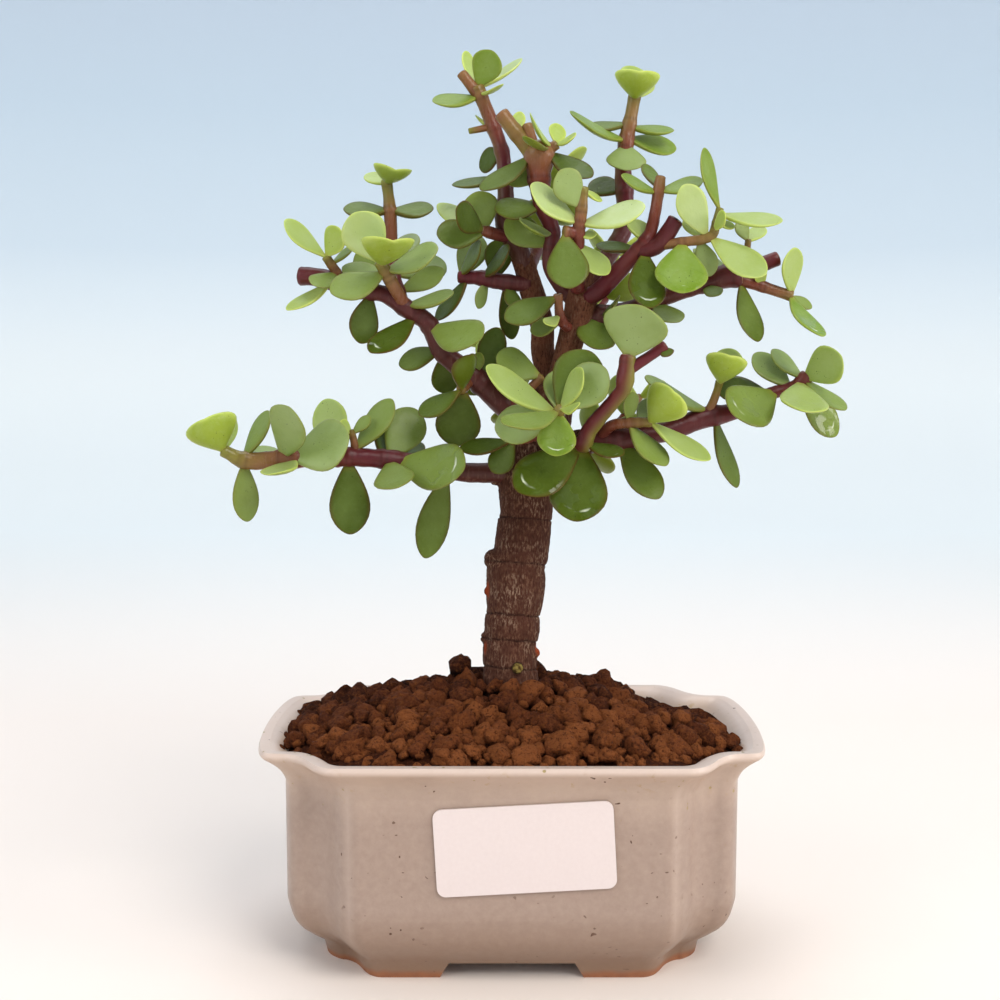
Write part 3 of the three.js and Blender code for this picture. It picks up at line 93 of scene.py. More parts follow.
# Each spray: its stems, how old each one looks at its start and end (1 old bark, 0 green tip), then how far
# its side is another colour, a letter for the look of each leaf, and the leaves: root x, root z, tip x,
# tip z, how far the tip lies behind the root, width and roll.
SPRAYS = {
    "low_left_spray": {
        "ages": [(0.85, 0.08), (0.4, 0.15)],
        "looks": "ybmmppbpbdmymdmdwmo",
        "stems": [
            [(1, -2, 142.4, 3.1), (-15, -3, 142.6, 2.9), (-30, -6, 145.4, 2.8), (-46, -9, 147, 2.7),
             (-66, -11, 146.6, 2.7), (-79, -12, 146, 2.5), (-86, -13, 149, 1.6)],
            [(-46.5, -9, 148, 1.2), (-47, -9, 152, 1.1), (-47.8, -9, 155, 0.9)],
        ],
        "leaves": [
            (-86, 149, -91.4, 158.5, -5, 15.8, 157), (-85.5, 149, -83.6, 160.5, 6, 7, 40),
            (-80, 147, -72.3, 161, 4, 10, 48), (-80.5, 144.5, -79, 127.6, -3, 9, 42),
            (-68, 148, -77, 150, 8, 8.5, 40), (-68.5, 147, -66, 162, -4, 13.5, 10),
            (-64.5, 146, -72.5, 141.8, -9, 11, 40), (-66.5, 147, -48.3, 153.2, -7, 16, 10),
            (-52, 149, -55.5, 164.3, 4, 11, -15), (-48.5, 146, -48.3, 123.7, -4, 12, 5),
            (-47.5, 154, -42, 159.3, 1, 5, 30), (-47.8, 154, -51, 157.7, -1, 4.5, 30),
            (-46, 149, -35.5, 164.4, 4, 11, 35), (-38.5, 147, -37.5, 160, 7, 9, 50),
            (-36.5, 147, -28.5, 161.5, 2, 12.5, -10), (-36, 147, -27, 151.5, 9, 8, 20),
            (-34.5, 146.5, -14, 143.5, -8, 15.5, 5), (-36.5, 146.5, -34.4, 137.8, -12, 12, 0),
            (-19, 143, -26, 116.5, -2, 10, 20),
        ],
    },
    "left_limb_spray": {
        "ages": [(0.8, 0.7), (0.45, 0.05), (0.4, 0.1), (0.65, 0.05), (0.5, 0.2), (0.5, 0.2)],
        "looks": "oddoomdmmqypoobbmpmpmpbymmmydg",
        "stems": [
            [(7, -1, 156, 3.9), (0, -1, 161, 3.9), (-10, -3, 170, 3.4), (-20, -5, 178, 2.9),
             (-25, -7, 187, 2.6), (-31, -8, 191, 2.7), (-37, -8, 195, 2.5), (-45, -7, 196.5, 2.5),
             (-56, -5, 200, 2.6), (-62, -4, 200.5, 2.7)],
            [(-31, -8, 191, 1.9), (-35, -12, 198, 1.9), (-38.5, -14, 204.5, 1.7)],
            [(-49, -6, 197.5, 1.4), (-50.5, -6, 200, 1.4), (-54.5, -8, 206, 1.2)],
            [(-32, -7, 192, 2), (-34.5, -2, 200, 2), (-35.5, 1, 208, 2.1), (-35.5, 1, 218, 1.9),
             (-36.5, 1, 228, 1.5)],
            [(-11, -3, 171, 1.6), (-15, -9, 167, 1.4)],
            [(0, -3, 162, 1.5), (6, -8, 168, 1.3), (9, -9, 171, 1.2)],
        ],
        "leaves": [
            (-15, 167, -27.5, 159.5, -2, 10.5, 40), (-14, 167.5, -16.8, 150.3, -6, 13.5, 5),
            (-15, 167, -12.5, 177.5, -8, 9, 150), (-20, 178, -19, 166, 8, 9, 10),
            (-21, 179, -33.4, 174.7, 3, 9.8, 30), (-24, 186, -9, 182, -7, 13, 10),
            (-8, 170, -4, 185.5, 6, 8.5, 0), (-11, 172, -9, 178, -3, 4, 0),
            (8.7, 171, -4.5, 177.2, -2, 11.5, 20), (-38.5, 204, -46.5, 218.7, -6, 13, -10),
            (-38.5, 204.5, -34.8, 210.8, -11, 15, 176), (-37, 202, -21.5, 208.5, -5, 13, 35),
            (-35.5, 219.5, -49.3, 220, 0, 12, 44), (-35.5, 219.5, -22.8, 220, 0, 12, 44),
            (-36.5, 227, -42, 230.2, 5, 7, 30), (-36.3, 228, -33.9, 231.2, -9, 11.5, 183),
            (-31.5, 192, -17, 195.5, -4, 10, 45), (-34.5, 201, -20, 205, 9, 12, 10),
            (-33, 196, -20, 202.5, 5, 8.5, 20), (-35, 205, -28.5, 212.8, 7, 8, 20),
            (-37, 201.5, -53.3, 195.5, -6, 11.5, 20), (-36.5, 200, -49.5, 203.5, 4, 8.5, 30),
            (-54.5, 206, -66.5, 216.8, -2, 8.6, 35), (-54.5, 206, -50.5, 214.5, -4, 9, 20),
            (-53, 204, -46.5, 209.5, 3, 6, 50), (-45, 197, -42, 210, 7, 7, 0),
            (-51.5, 201.5, -58.5, 197.8, -6, 7.5, 10), (-53, 199, -66.3, 190.5, -4, 9, 45),
            (-41.5, 195, -44.8, 180.7, -3, 9.3, 30), (-28, 189, -41.8, 178, -6, 9.5, 20),
        ],
    },
    "left_twig_spray": {
        "ages": [(0.75, 0.6)],
        "looks": "omdodpod",
        "stems": [
            [(5.5, -0.5, 198, 2.3), (-1, -1, 198.5, 2.3), (-10, -2, 200, 2.1), (-15.5, -2, 200.2, 1.5)],
        ],
        "leaves": [
            (-17.5, 200.2, -9, 210.5, -4, 9, 50), (-15, 200, -9.5, 212.3, 5, 9, 0),
            (-9, 199.5, -0.5, 209, -4, 9.5, 45), (-5, 199, -3.2, 211, 6, 8.5, 10),
            (-13, 199, -22.3, 187.5, -4, 9.5, 48), (-7, 199, -10, 191, -2, 5, 50),
            (-1, 198, 1.5, 190.5, -5, 6, 30), (-2, 198, 0.5, 182, 3, 7, 20),
        ],
    },
    "left_leader_spray": {
        "ages": [(0.85, 0.22, -0.5), (0.35, 0.3, -0.5), (0.4, 0.1), (0.6, 0.4)],
        "looks": "sqybsydombdo",
        "stems": [
            [(4, 0.5, 203, 2.8), (3, 0, 206, 3), (-2, 0, 216, 2.9), (-1.7, 1, 224, 2.5), (-2.8, 2, 236, 2.1),
             (-6, 3, 245, 2.1), (-10, 3, 254.5, 1.9)],
            [(-8.5, 3, 251, 1.7), (-14.5, 3, 258.5, 1.6)],
            [(-5.5, 3, 243.5, 1.1), (-12.3, 2, 242.2, 0.9)],
            [(1, 0, 211, 1.8), (-6, -4, 213, 1.7), (-8.5, -5, 213.7, 1.3)],
        ],
        "leaves": [
            (-9.8, 254.5, -5.5, 265, -4, 9.5, 0), (-9.8, 255.5, 2.6, 262.8, 3, 8, 48),
            (-9.8, 254.5, -12.8, 264.8, 4, 6, 40), (-9, 253, -2.8, 255.5, -4, 4.5, 40),
            (-9.5, 252, -23, 250.6, -3, 10.6, 40), (-5.3, 243, -9.7, 246.3, 4, 6, 60),
            (-3, 236.5, -9.5, 232.5, 7, 8, 0), (-2.2, 229.5, -17.5, 226.8, 1, 9.5, 50),
            (-7.5, 213.5, -10, 225, 0, 10.5, 0), (-8, 213.6, -21.5, 221.5, 5, 7, 20),
            (-8, 213.6, -16.3, 220, -6, 9, -10), (-7, 213.3, -22, 212.5, 3, 9.5, 0),
        ],
    },
    "top_centre_spray": {
        "ages": [(0.8, 0.22), (0.22, 0.3, -0.5), (0.4, 0.25), (0.4, 0.2)],
        "looks": "ybmyydompmo",
        "stems": [
            [(18, -4, 193.5, 2.3), (14, -5, 198, 2), (11, -7, 204, 2), (12, -8, 213, 2.2), (9, -8, 222, 2.8),
             (8, -8, 229, 3.3), (8, -8, 235.5, 4.6), (8, -8, 238.5, 3.4)],
            [(6, -8, 235.5, 2.3), (1, -8, 242, 2.2), (-3, -8, 247, 2.2)],
            [(6.5, -8, 237, 1.7), (4.5, -8, 244, 1.5)],
            [(9.5, -8, 236, 1.6), (13, -8, 238.4, 1.3)],
        ],
        "leaves": [
            (1, 241.5, 2.5, 247.8, 0, 4, 0), (10.8, 239, 5.5, 247, -3, 6, 40),
            (10.5, 238, 3.8, 240.8, -6, 5, 40), (13, 238.4, 13.6, 244.3, 2, 5.5, 20),
            (13, 238.4, 18.6, 241, -2, 6, 40), (10.5, 236, 23.5, 229, -6, 9.5, 30),
            (6.5, 234.5, -9, 225.2, -7, 10.5, 40), (7.5, 228, -2, 230, -2, 7, 0),
            (12, 213, 3, 216, -5, 9.5, 40), (11.5, 209, -2, 216.5, 4, 9.5, 0),
            (9.5, 221, -5, 219.7, -4, 10.5, 28),
        ],
    },
    "centre_shoot_spray": {
        "ages": [(0.6, 0.1), (0.5, 0.2)],
        "looks": "qqpyoyb",
        "stems": [
            [(19.5, -9, 196.5, 2.2), (18.8, -14, 204, 2), (19.6, -18, 213, 1.8), (20.5, -19, 220, 1.6),
             (21, -19, 226, 1.3)],
            [(19.5, -18, 213, 1.6), (15.6, -19, 213.2, 1.8)],
        ],
        "leaves": [
            (20, 215.6, 5.5, 226.8, -5, 10.5, 30), (20.2, 215.5, 39.2, 220.6, -5, 12.6, 35),
            (20.5, 220, 14, 231, 3, 9.5, 0), (21, 225.5, 26.5, 222.5, -2, 4.5, 40),
            (15.6, 213.2, 17.2, 196.8, -7, 12, 0), (20, 212.5, 25, 212.5, -4, 4, 30),
            (19.8, 210, 28.5, 201, -3, 9.5, 30),
        ],
    },
    "crimson_spray": {
        "ages": [(0.66, 0.3), (0.7, 0.65), (0.3, 0.1)],
        "looks": "sbqyybbssodbgxp",
        "stems": [
            [(22, -7, 194.5, 2.8), (25, -8, 195.6, 2.7), (31, -10, 201.5, 2.6), (38, -13, 209, 2.1),
             (41, -13, 214, 1.8), (43.5, -12, 229, 1.5)],
            [(37, -12.5, 207.5, 2.2), (43, -14, 209.5, 2.5), (48, -15, 216.5, 2.4)],
            [(42, -14, 209.2, 1.5), (50, -16, 210.3, 1.4), (58.5, -17, 212, 1.3), (60, -16, 216, 1.2),
             (61, -16, 220, 1)],
        ],
        "leaves": [
            (61.6, 219.5, 56, 237.5, -2, 8, 45), (60.5, 218.5, 79.5, 216.5, -3, 10, 40),
            (57.5, 212, 50, 226.8, -4, 9.5, 0), (59, 213.5, 62.5, 219, -5, 4.5, 30),
            (60, 216, 65.5, 215, -4, 4, 30), (56, 211.5, 51, 217.5, 4, 5, 0),
            (58, 211.8, 74.8, 200.8, -6, 11, 15), (43, 224.5, 32, 229.5, -2, 9, 45),
            (43, 225, 56, 228.2, -4, 8.5, 35), (43, 226, 39.5, 232.8, 4, 6, 30),
            (37, 208.5, 25.3, 210, 4, 8.5, 40), (39, 210.5, 36.5, 217, -5, 8.5, 30),
            (39, 208.5, 40.5, 191, -8, 11, 10), (50, 210.3, 50, 195.5, -10, 15, 0),
            (55, 211, 58.8, 200.5, 3, 7, 0),
        ],
    },
    "right_limb_spray": {
        "ages": [(0.8, 0.7), (0.7, 0.6), (0.5, 0.2), (0.35, 0.15)],
        "looks": "mbymbmxommoo",
        "stems": [
            [(20, -2, 188.5, 3.2), (32, -4, 189.5, 3.1), (43, -7, 193.6, 2.5), (57, -8, 198.3, 2.5),
             (62.7, -8, 200.4, 3.5), (66.5, -8, 201.2, 3.6)],
            [(65, -8, 200.8, 2.4), (78, -8, 205.5, 2.2)],
            [(65, -8, 200, 1.8), (74, -9, 197.4, 1.6), (82.5, -10, 194.7, 1.5)],
            [(68, -8, 202, 1.1), (69, -7, 207, 1), (69.5, -7, 211, 0.8)],
        ],
        "leaves": [
            (69.4, 210.5, 66.5, 217, -1, 5.5, 20), (69.4, 210.5, 73.5, 215, 1, 5.5, 20),
            (74, 197.4, 73, 202.2, -3, 4, 0), (65.5, 201, 54, 208.5, 3, 9, 45),
            (82.6, 195, 83, 208.8, -3, 9.5, 40), (82.5, 194.8, 88.7, 191.5, 2, 5, 30),
            (82, 194.8, 91.8, 182.8, -3, 9.5, 40), (67.3, 199, 72.8, 181.2, -4, 8.4, 25),
            (56, 198.5, 61.5, 195, -5, 5, 0), (42, 192.5, 49.5, 187, -5, 8.5, 20),
            (26, 190.3, 31.5, 194, -5, 6, 30), (26, 190.3, 24.3, 179.2, -3, 12, 10),
        ],
    },
    "right_leader_spray": {
        "ages": [(0.8, 0.15, -0.35)],
        "looks": "ybossspd",
        "stems": [
            [(22, -2, 194, 2.6), (27, 5, 204, 2.7), (33, 10, 215, 2.7), (32.5, 12, 232, 2.5),
             (33.5, 13, 240, 2.2), (35.8, 14, 252.5, 1.8)],
        ],
        "leaves": [
            (35.7, 251.5, 36.9, 259.2, -9, 13.5, 184), (35.7, 251.5, 37, 260, 9, 12, 20),
            (33.8, 244.6, 21.5, 243.5, 0, 9, 48), (33.8, 243.6, 47.3, 242.4, 0, 9.5, 48),
            (33.3, 239.5, 17.1, 247.3, -3, 10.5, 40), (33.3, 240.3, 48, 237.5, -3, 11, 30),
            (33.3, 238.5, 33.5, 231, -10, 12, 0), (32.7, 225, 22.8, 227.5, 3, 9.5, 20),
        ],
    },
    "low_right_spray": {
        "ages": [(0.75, 0.55), (0.5, 0.15), (0.35, 0.1)],
        "looks": "ybmdwppmbbwogmoybmm",
        "stems": [
            [(20, -12, 151.3, 3.5), (33, -14, 152.6, 3.2), (45, -13, 154.5, 3), (58, -11, 159, 3),
             (66, -10, 160.6, 2.5), (78, -9, 166.3, 1.7), (84, -9, 168, 1.7), (87.5, -9, 171, 2.1)],
            [(26, -13, 152, 1.9), (30, -18, 156.5, 1.6), (41.5, -21, 157.5, 1.3)],
            [(58, -11, 159, 1.4), (60.5, -13, 165, 1.2), (61.8, -14, 169.5, 1.1)],
        ],
        "leaves": [
            (61.8, 169.2, 64.8, 177.2, -8, 12, 192), (61.8, 169.2, 66, 179, 5, 9, 0),
            (58, 161, 39.5, 170.6, 2, 11.5, 48), (77, 166, 60.5, 168.5, -3, 10, 20),
            (79, 165.4, 65.6, 160, -8, 15.6, 5), (83, 167.7, 72, 178, 3, 11, 30),
            (86.5, 170.5, 77, 179, 6, 9, 40), (87, 170, 99.4, 161, -8, 9.5, 40),
            (86.8, 170, 97.8, 177, -6, 11.5, -10), (86, 169, 88, 160.5, -12, 14, 0),
            (86, 169, 97, 153.5, -4, 10, 10), (60.5, 159.5, 67.5, 137.8, -3, 9, 40),
            (29.5, 152.4, 39.5, 144.7, -5, 10, 40), (35, 157, 46.3, 144.4, -5, 10.5, 40),
            (32, 152.5, 44.3, 134.5, 3, 10.5, 15), (41, 157.5, 48.5, 166.5, -8, 13, 223),
            (42.5, 158.5, 59.5, 146.3, -4, 9.6, 40), (35, 157, 36, 166.5, -2, 6, 40),
            (38, 157.2, 42, 164.5, 5, 6, 0),
        ],
    },
    "front_shoot_spray": {
        "ages": [(0.6, 0.6, 1), (0.65, 0.6)],
        "looks": "pdggg",
        "stems": [
            [(21.2, -17, 150.8, 2.4), (21.8, -21, 151.6, 2.4), (23.6, -23, 155.7, 2.3), (33, -30, 167, 2.1),
             (33.7, -31, 170, 2.6), (34.5, -31, 177, 2)],
            [(34, -31, 172.5, 1.6), (45.5, -31, 180, 1.4)],
        ],
        "leaves": [
            (34.5, 176.3, 38, 192, -5, 18, -5), (44.8, 180, 46.8, 177, -2, 4, 0),
            (21.3, 151, 19.2, 127.6, -5, 17, 0), (21, 150.8, 1.3, 137, 1, 14.5, 10),
            (21.7, 151.3, 33.6, 147.8, -5, 8, 40),
        ],
    },
    "front_rosette_spray": {
        "ages": [(0.6, 0.15), (0.5, 0.3)],
        "looks": "bbppmxopyod",
        "stems": [
            [(11, -6, 152, 2.3), (13, -15, 157, 2), (14, -24, 160, 1.8), (14.5, -27, 161.3, 1.4)],
            [(12.3, -12, 155, 1.5), (5, -14, 152.5, 1.3), (0, -14, 152, 1.2)],
        ],
        "leaves": [
            (13.5, 160, -7.6, 174, -3, 12, 40), (14.3, 161, 21, 173.5, -4, 9, 48),
            (14, 160.5, 14, 173, 5, 9, 0), (13.7, 159.5, -5, 155.5, -1, 12.5, 10),
            (14.3, 160.8, -2.3, 156.8, -7, 11, 35), (14.3, 160.8, 13, 147.3, -9, 11, 0),
            (13.5, 160, 23.5, 178.5, 5, 15, 0), (14.3, 161, 28, 173.5, 1, 13, 10),
            (14.5, 161.3, 20, 162.5, -5, 4, 0), (1, 152, -5.5, 142.3, -1, 8, 10),
            (0.5, 152, -15.5, 149.6, 2, 8.5, 40),
        ],
    },
    "fork_spray": {
        "ages": [(0.5, 0.3)],
        "looks": "omb",
        "stems": [
            [(17, -7, 185, 1.6), (14.5, -13, 188, 1.4), (13.6, -15, 195, 1.2)],
        ],
        "leaves": [
            (13.7, 194.5, -2, 187.6, -2, 10.5, 25), (14.7, 187.5, 5.5, 184.5, 2, 8, 30),
            (14.3, 189, 10, 186.5, -4, 4, 0),
        ],
    },
}
BACK_SPRAYS = {
    "back_low_spray": [(12, 5, 150, 2.7), (21, 17, 152, 2.3), (32, 29, 157, 1.8), (38, 38, 165, 1.2)],
    "back_left_spray": [(9, 5, 158, 2.7), (2, 17, 163, 2.3), (-6, 29, 170, 1.8), (-9, 38, 180, 1.2)],
    "back_centre_spray": [(18, 0, 184, 2.5), (22, 14, 188, 2.1), (28, 26, 196, 1.7), (30, 36, 207, 1.2)],
    "back_top_spray": [(5, 2, 203, 2.3), (8, 14, 210, 2), (11, 24, 220, 1.6), (12, 31, 231, 1.2)],
}
BACK_AGES = (0.8, 0.2)
PAIR_PITCH = 9.5
PAIR_LEAF = (10, 15)
PAIR_WIDTH = 0.8
LAST_PAIR = 0.7
PAIRED_SHARE = 0.72
LEAF_THICKNESS = 0.19
THIN_LEAF = 1.2
LEAF_BOW = 0.05
LEAF_CUP = 0.1
DEEP_CUP = 0.4
FROM_BENEATH = 140
# Settling: a leaf is tested at a grid of points, and its tip swings in steps until it is clear.
CLEARANCE = 0.55
STALK_REACH = 4.5  # how far from its root a leaf may touch the stem
STALK_SHARE = 0.12  # the share of its length that isn't tested against its neighbours
SAMPLE_T = np.array([0.22, 0.38, 0.54, 0.7, 0.85, 1])
SAMPLE_S = np.array([-1, -0.5, 0, 0.5, 1])
SWING = 1.4
SWINGS = [0] + [k * side for k in range(1, 9) for side in (1, -1)]

# Leaf looks: how young (0 dark to 1 yellow-green), how much pale bloom, how wet.
LOOKS = {
    "y": (1.0, 0.05, 0.1), "b": (0.8, 0.3, 0.1), "q": (0.88, 0.85, 0.1), "m": (0.42, 0.35, 0.15),
    "p": (0.48, 0.85, 0.0), "o": (0.24, 0.15, 0.1), "d": (0.1, 0.1, 0.15), "g": (0.1, 0.0, 1.0),
    "w": (0.38, 0.25, 1.0), "x": (0.6, 0.0, 1.0), "s": (0.52, 0.0, 0.1),
}
BACK_LOOKS = "mmobpdmb"


# ---- Numbers ----
def mulberry32(seed):
    state = seed

    def draw():
        nonlocal state
        state = (state + 0x6D2B79F5) & 0xFFFFFFFF
        t = ((state ^ (state >> 15)) * (1 | state)) & 0xFFFFFFFF
        t = ((t + (((t ^ (t >> 7)) * (61 | t)) & 0xFFFFFFFF)) & 0xFFFFFFFF) ^ t
        return ((t ^ (t >> 14)) & 0xFFFFFFFF) / 4294967296

    return draw


def unit(v):
    return v / np.linalg.norm(v)


def placed(x, depth, z):
    """The point at this depth that the camera sees at x and z of the upright plane through the trunk."""
    scale = (depth - VIEWPOINT[1]) / -VIEWPOINT[1]
    eye_x, eye_z = VIEWPOINT[0], VIEWPOINT[2]
    return np.array([eye_x + (x - eye_x) * scale, depth, eye_z + (z - eye_z) * scale])


# ---- Leaves: the same frames and the same settling as the solids ----
def half_width(t):
    return np.clip(np.sin(np.pi * np.clip(t, 0, 1) ** 1.55), 0, None) ** 0.58


class Leaf:
    """A blade: t runs along it from the root at 0 to the tip at 1, s across it from -1 to 1."""

    def __init__(self, root, tip, width, upper, look, cup=LEAF_CUP):
        along = tip - root
        self.length = np.linalg.norm(along)
        self.along = along / self.length
        self.face = unit(upper - self.along * (upper @ self.along))
        self.across = np.cross(self.face, self.along)
        self.root, self.width, self.look, self.cup = root, width, look, cup
        self.thick = max(THIN_LEAF, width * LEAF_THICKNESS)
        t, s = [a.ravel() for a in np.meshgrid(SAMPLE_T, SAMPLE_S, indexing="ij")]
        self.samples = self.points(t, s, self.half(t))

    def half(self, t):
        return self.width / 2 * half_width(t)

    def rise(self, t, s, half):
        """How far the cup and the bow take the blade off its plane."""
        return self.cup * half * s * s - LEAF_BOW * self.length * np.sin(np.pi * t)

    def points(self, t, s, half, lift=0):
        return (
            self.root
            + np.multiply.outer(self.length * t, self.along)
            + np.multiply.outer(half * s, self.across)
            + np.multiply.outer(self.rise(t, s, half) + lift, self.face)
        )


def rolled_face(root, tip, roll):
    """The way a leaf's upper side faces: to the front, rolled towards the sky, or seen from beneath."""
    if roll >= FROM_BENEATH:
        lean = math.radians(roll - 180)
        return np.array([math.sin(lean), 0.35, math.cos(lean)])
    along = unit(tip - root)
    front = np.array([0, -1, 0.35])
    front = unit(front - along * (front @ along))
    side = np.cross(along, front)
    if side @ np.array([0.35, 0, 1]) < 0:
        side = -side
    angle = math.radians(roll)
    return front * math.cos(angle) + side * math.sin(angle)


def stem_point(stems, x, z):
    """The point of the stems that lies nearest to x and z, seen from the front."""
    best = (math.inf, None)
    for route in stems:
        for (ax, ay, az, _), (bx, by, bz, _) in zip(route, route[1:]):
            share = ((x - ax) * (bx - ax) + (z - az) * (bz - az)) / ((bx - ax) ** 2 + (bz - az) ** 2)
            k = min(1, max(0, share))
            found = (ax + (bx - ax) * k, ay + (by - ay) * k, az + (bz - az) * k)
            distance = math.hypot(found[0] - x, found[2] - z)
            if distance < best[0]:
                best = (distance, found)
    return best[1]


def stretches(routes):
    """Where each straight stretch of the stems starts, how it runs and how thick it is."""
    rows = []
    for route in routes:
        nodes = [(placed(x, depth, z), radius) for x, depth, z, radius in route]
        rows += [(a, b - a, max(p, q)) for (a, p), (b, q) in zip(nodes, nodes[1:])]
    return [np.array(column) for column in zip(*rows)]


def touches(points, leaf, reach):
    """How many of the points lie within reach of the leaf's blade."""
    offset = points - leaf.root
    t, s = offset @ leaf.along / leaf.length, np.abs(offset @ leaf.across)
    half = leaf.half(t)
    rise = leaf.rise(np.minimum(t, 1), np.minimum(1, s / np.maximum(half, 1e-9)), half)
    near = (t >= STALK_SHARE) & (t <= 1 + reach / leaf.length) & (s <= half + reach * 0.6)
    return np.sum(near & (np.abs(offset @ leaf.face - rise) < reach))


def crowding(leaf, leaves, stems):
    """How many sample points of the leaf and its neighbours come too close."""
    start, span, radius = stems
    points = leaf.samples[np.linalg.norm(leaf.samples - leaf.root, axis=1) >= STALK_REACH]
    offset = points[:, None] - start
    k = np.clip((offset * span).sum(2) / (span**2).sum(1), 0, 1)
    distance = np.linalg.norm(offset - span * k[..., None], axis=2)
    count = np.sum(distance < radius + leaf.thick / 2 + CLEARANCE)
    for other in leaves:
        if np.linalg.norm(other.root - leaf.root) <= leaf.length + other.length:
            reach = leaf.thick / 2 + other.thick / 2 + CLEARANCE
            count += touches(leaf.samples, other, reach) + touches(other.samples, leaf, reach)
    return count


def table_leaf(own_stems, row, look, leaves, stems):
    """A row's leaf, its tip swung back or forward until it is clear of the stems and leaves."""
    x, z, tip_x, tip_z, behind, width, roll = row
    base = stem_point(own_stems, x, z)
    root, cup = placed(*base), DEEP_CUP if roll >= FROM_BENEATH else LEAF_CUP
    least = math.inf
    for swing in SWINGS:
        tip = placed(tip_x, base[1] + behind + swing * SWING, tip_z)
        leaf = Leaf(root, tip, width, rolled_face(root, tip, roll), look, cup)
        count = crowding(leaf, leaves, stems)
        if count < least:
            least, best = count, leaf
        if count == 0:
            break
    return best


def stem_from_end(nodes, back):
    for a, b in reversed(list(zip(nodes, nodes[1:]))):
        length = np.linalg.norm(b - a)
        if back <= length:
            return a + (b - a) * (1 - back / length), (b - a) / length
        back -= length
    return None


def paired_leaves(route, random, made):
    """Pairs of leaves from a stem's end inwards, each a quarter turn from the last."""
    nodes = np.array([placed(x, depth, z) for x, depth, z, _ in route])
    length = np.linalg.norm(np.diff(nodes, axis=0), axis=1).sum()
    leaves = []
    for pair in range(math.floor(length * PAIRED_SHARE / PAIR_PITCH) + 1):
        root, ahead = stem_from_end(nodes, LAST_PAIR + pair * PAIR_PITCH)
        level = unit(np.cross(ahead, [0, 0, 1]))
        for half_turn in (0, math.pi):
            long = PAIR_LEAF[0] + (PAIR_LEAF[1] - PAIR_LEAF[0]) * random()
            rise, look = 0.45, BACK_LOOKS[(made + len(leaves)) % len(BACK_LOOKS)]
            if pair == 0:
                long, rise, look = long * 0.75, 0.9, "y"
            turn = pair % 2 * math.pi / 2 + half_turn + (random() - 0.5) * 0.4
            out = np.array(Matrix.Rotation(turn, 3, Vector(ahead)) @ Vector(level))
            leaves.append(Leaf(root, root + out * long + ahead * long * rise, long * PAIR_WIDTH, ahead, look))
    return leaves


def settle_leaves():
    """The leaves of each spray; those of the table settle one after the other."""
    table_stems = [stem for spray in SPRAYS.values() for stem in spray["stems"]]
    stems = stretches(TRUNK + table_stems + list(BACK_SPRAYS.values()))
    random, leaves, by_spray = mulberry32(7), [], {}
    for name, spray in SPRAYS.items():
        for row, look in zip(spray["leaves"], spray["looks"]):
            leaves.append(table_leaf(spray["stems"], row, look, leaves, stems))
        by_spray[name] = leaves[-len(spray["leaves"]) :]
    for name, route in BACK_SPRAYS.items():
        by_spray[name] = paired_leaves(route, random, len(leaves))
        leaves += by_spray[name]
    return by_spray


# ---- Meshes ----
def linked(name, data):
    made = bpy.data.objects.new(name, data)
    bpy.context.scene.collection.objects.link(made)
    return made


def declare(piece, node):
    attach(piece, "root")
    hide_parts(node)


def add_values(mesh, key, values):
    mesh.attributes.new(key, "FLOAT", "POINT").data.foreach_set("value", values)


def vertex_vectors(mesh, key):
    flat = np.empty(len(mesh.vertices) * 3)
    mesh.vertices.foreach_get(key, flat)
    return flat.reshape(-1, 3)


def finished(name, mesh, material, angle=180):
    """A smooth object with its material; edges sharper than the angle stay crisp."""
    mesh.polygons.foreach_set("use_smooth", [True] * len(mesh.polygons))
    if angle < 180:
        mesh.set_sharp_from_angle(angle=math.radians(angle))
    mesh.materials.append(material)
    return linked(name, mesh)


def modified(rough, *spare):
    """The mesh that an object's modifiers make; it and the spare objects go."""
    bpy.context.view_layer.update()
    mesh = bpy.data.meshes.new_from_object(rough.evaluated_get(bpy.context.evaluated_depsgraph_get()))
    for used in (rough, *spare):
        bpy.data.objects.remove(used)
    return mesh


class Builder:
    """Points in millimetres, faces and per-point values of one mesh."""

    def __init__(self):
        self.points, self.faces, self.values, self.count = [], [], {}, 0

    def add(self, points, faces, **values):
        self.points.append(np.asarray(points, float))
        self.faces += [tuple(int(i) + self.count for i in face) for face in faces]
        for key, value in values.items():
            self.values.setdefault(key, []).append(np.broadcast_to(np.asarray(value, float), (len(points),)))
        self.count += len(points)

    def mesh(self, name):
        mesh = bpy.data.meshes.new(name)
        mesh.from_pydata(np.concatenate(self.points) * MM, [], self.faces)
        for key, parts in self.values.items():
            add_values(mesh, key, np.concatenate(parts))
        return mesh

    def piece(self, name, material):
        return finished(name, self.mesh(name), material)


def ring_faces(rings, sides, last_cap=True):
    """Four-sided faces between rings, with a cap on the first ring and one on the last."""
    faces = []
    for low in range(0, (rings - 1) * sides, sides):
        high = low + sides
        faces += [(low + k, low + (k + 1) % sides, high + (k + 1) % sides, high + k) for k in range(sides)]
    faces.append(tuple(range(sides))[::-1])
    if last_cap:
        faces.append(tuple((rings - 1) * sides + k for k in range(sides)))
    return faces


def lofted(builder, rings, **values):
    builder.add(np.concatenate(rings), ring_faces(len(rings), len(rings[0])), **values)


def icosphere(subdivisions, radius=1):
    ball = bmesh.new()
    bmesh.ops.create_icosphere(ball, subdivisions=subdivisions, radius=radius)
    points = np.array([v.co for v in ball.verts])
    faces = [[v.index for v in face.verts] for face in ball.faces]
    ball.free()
    return points, faces


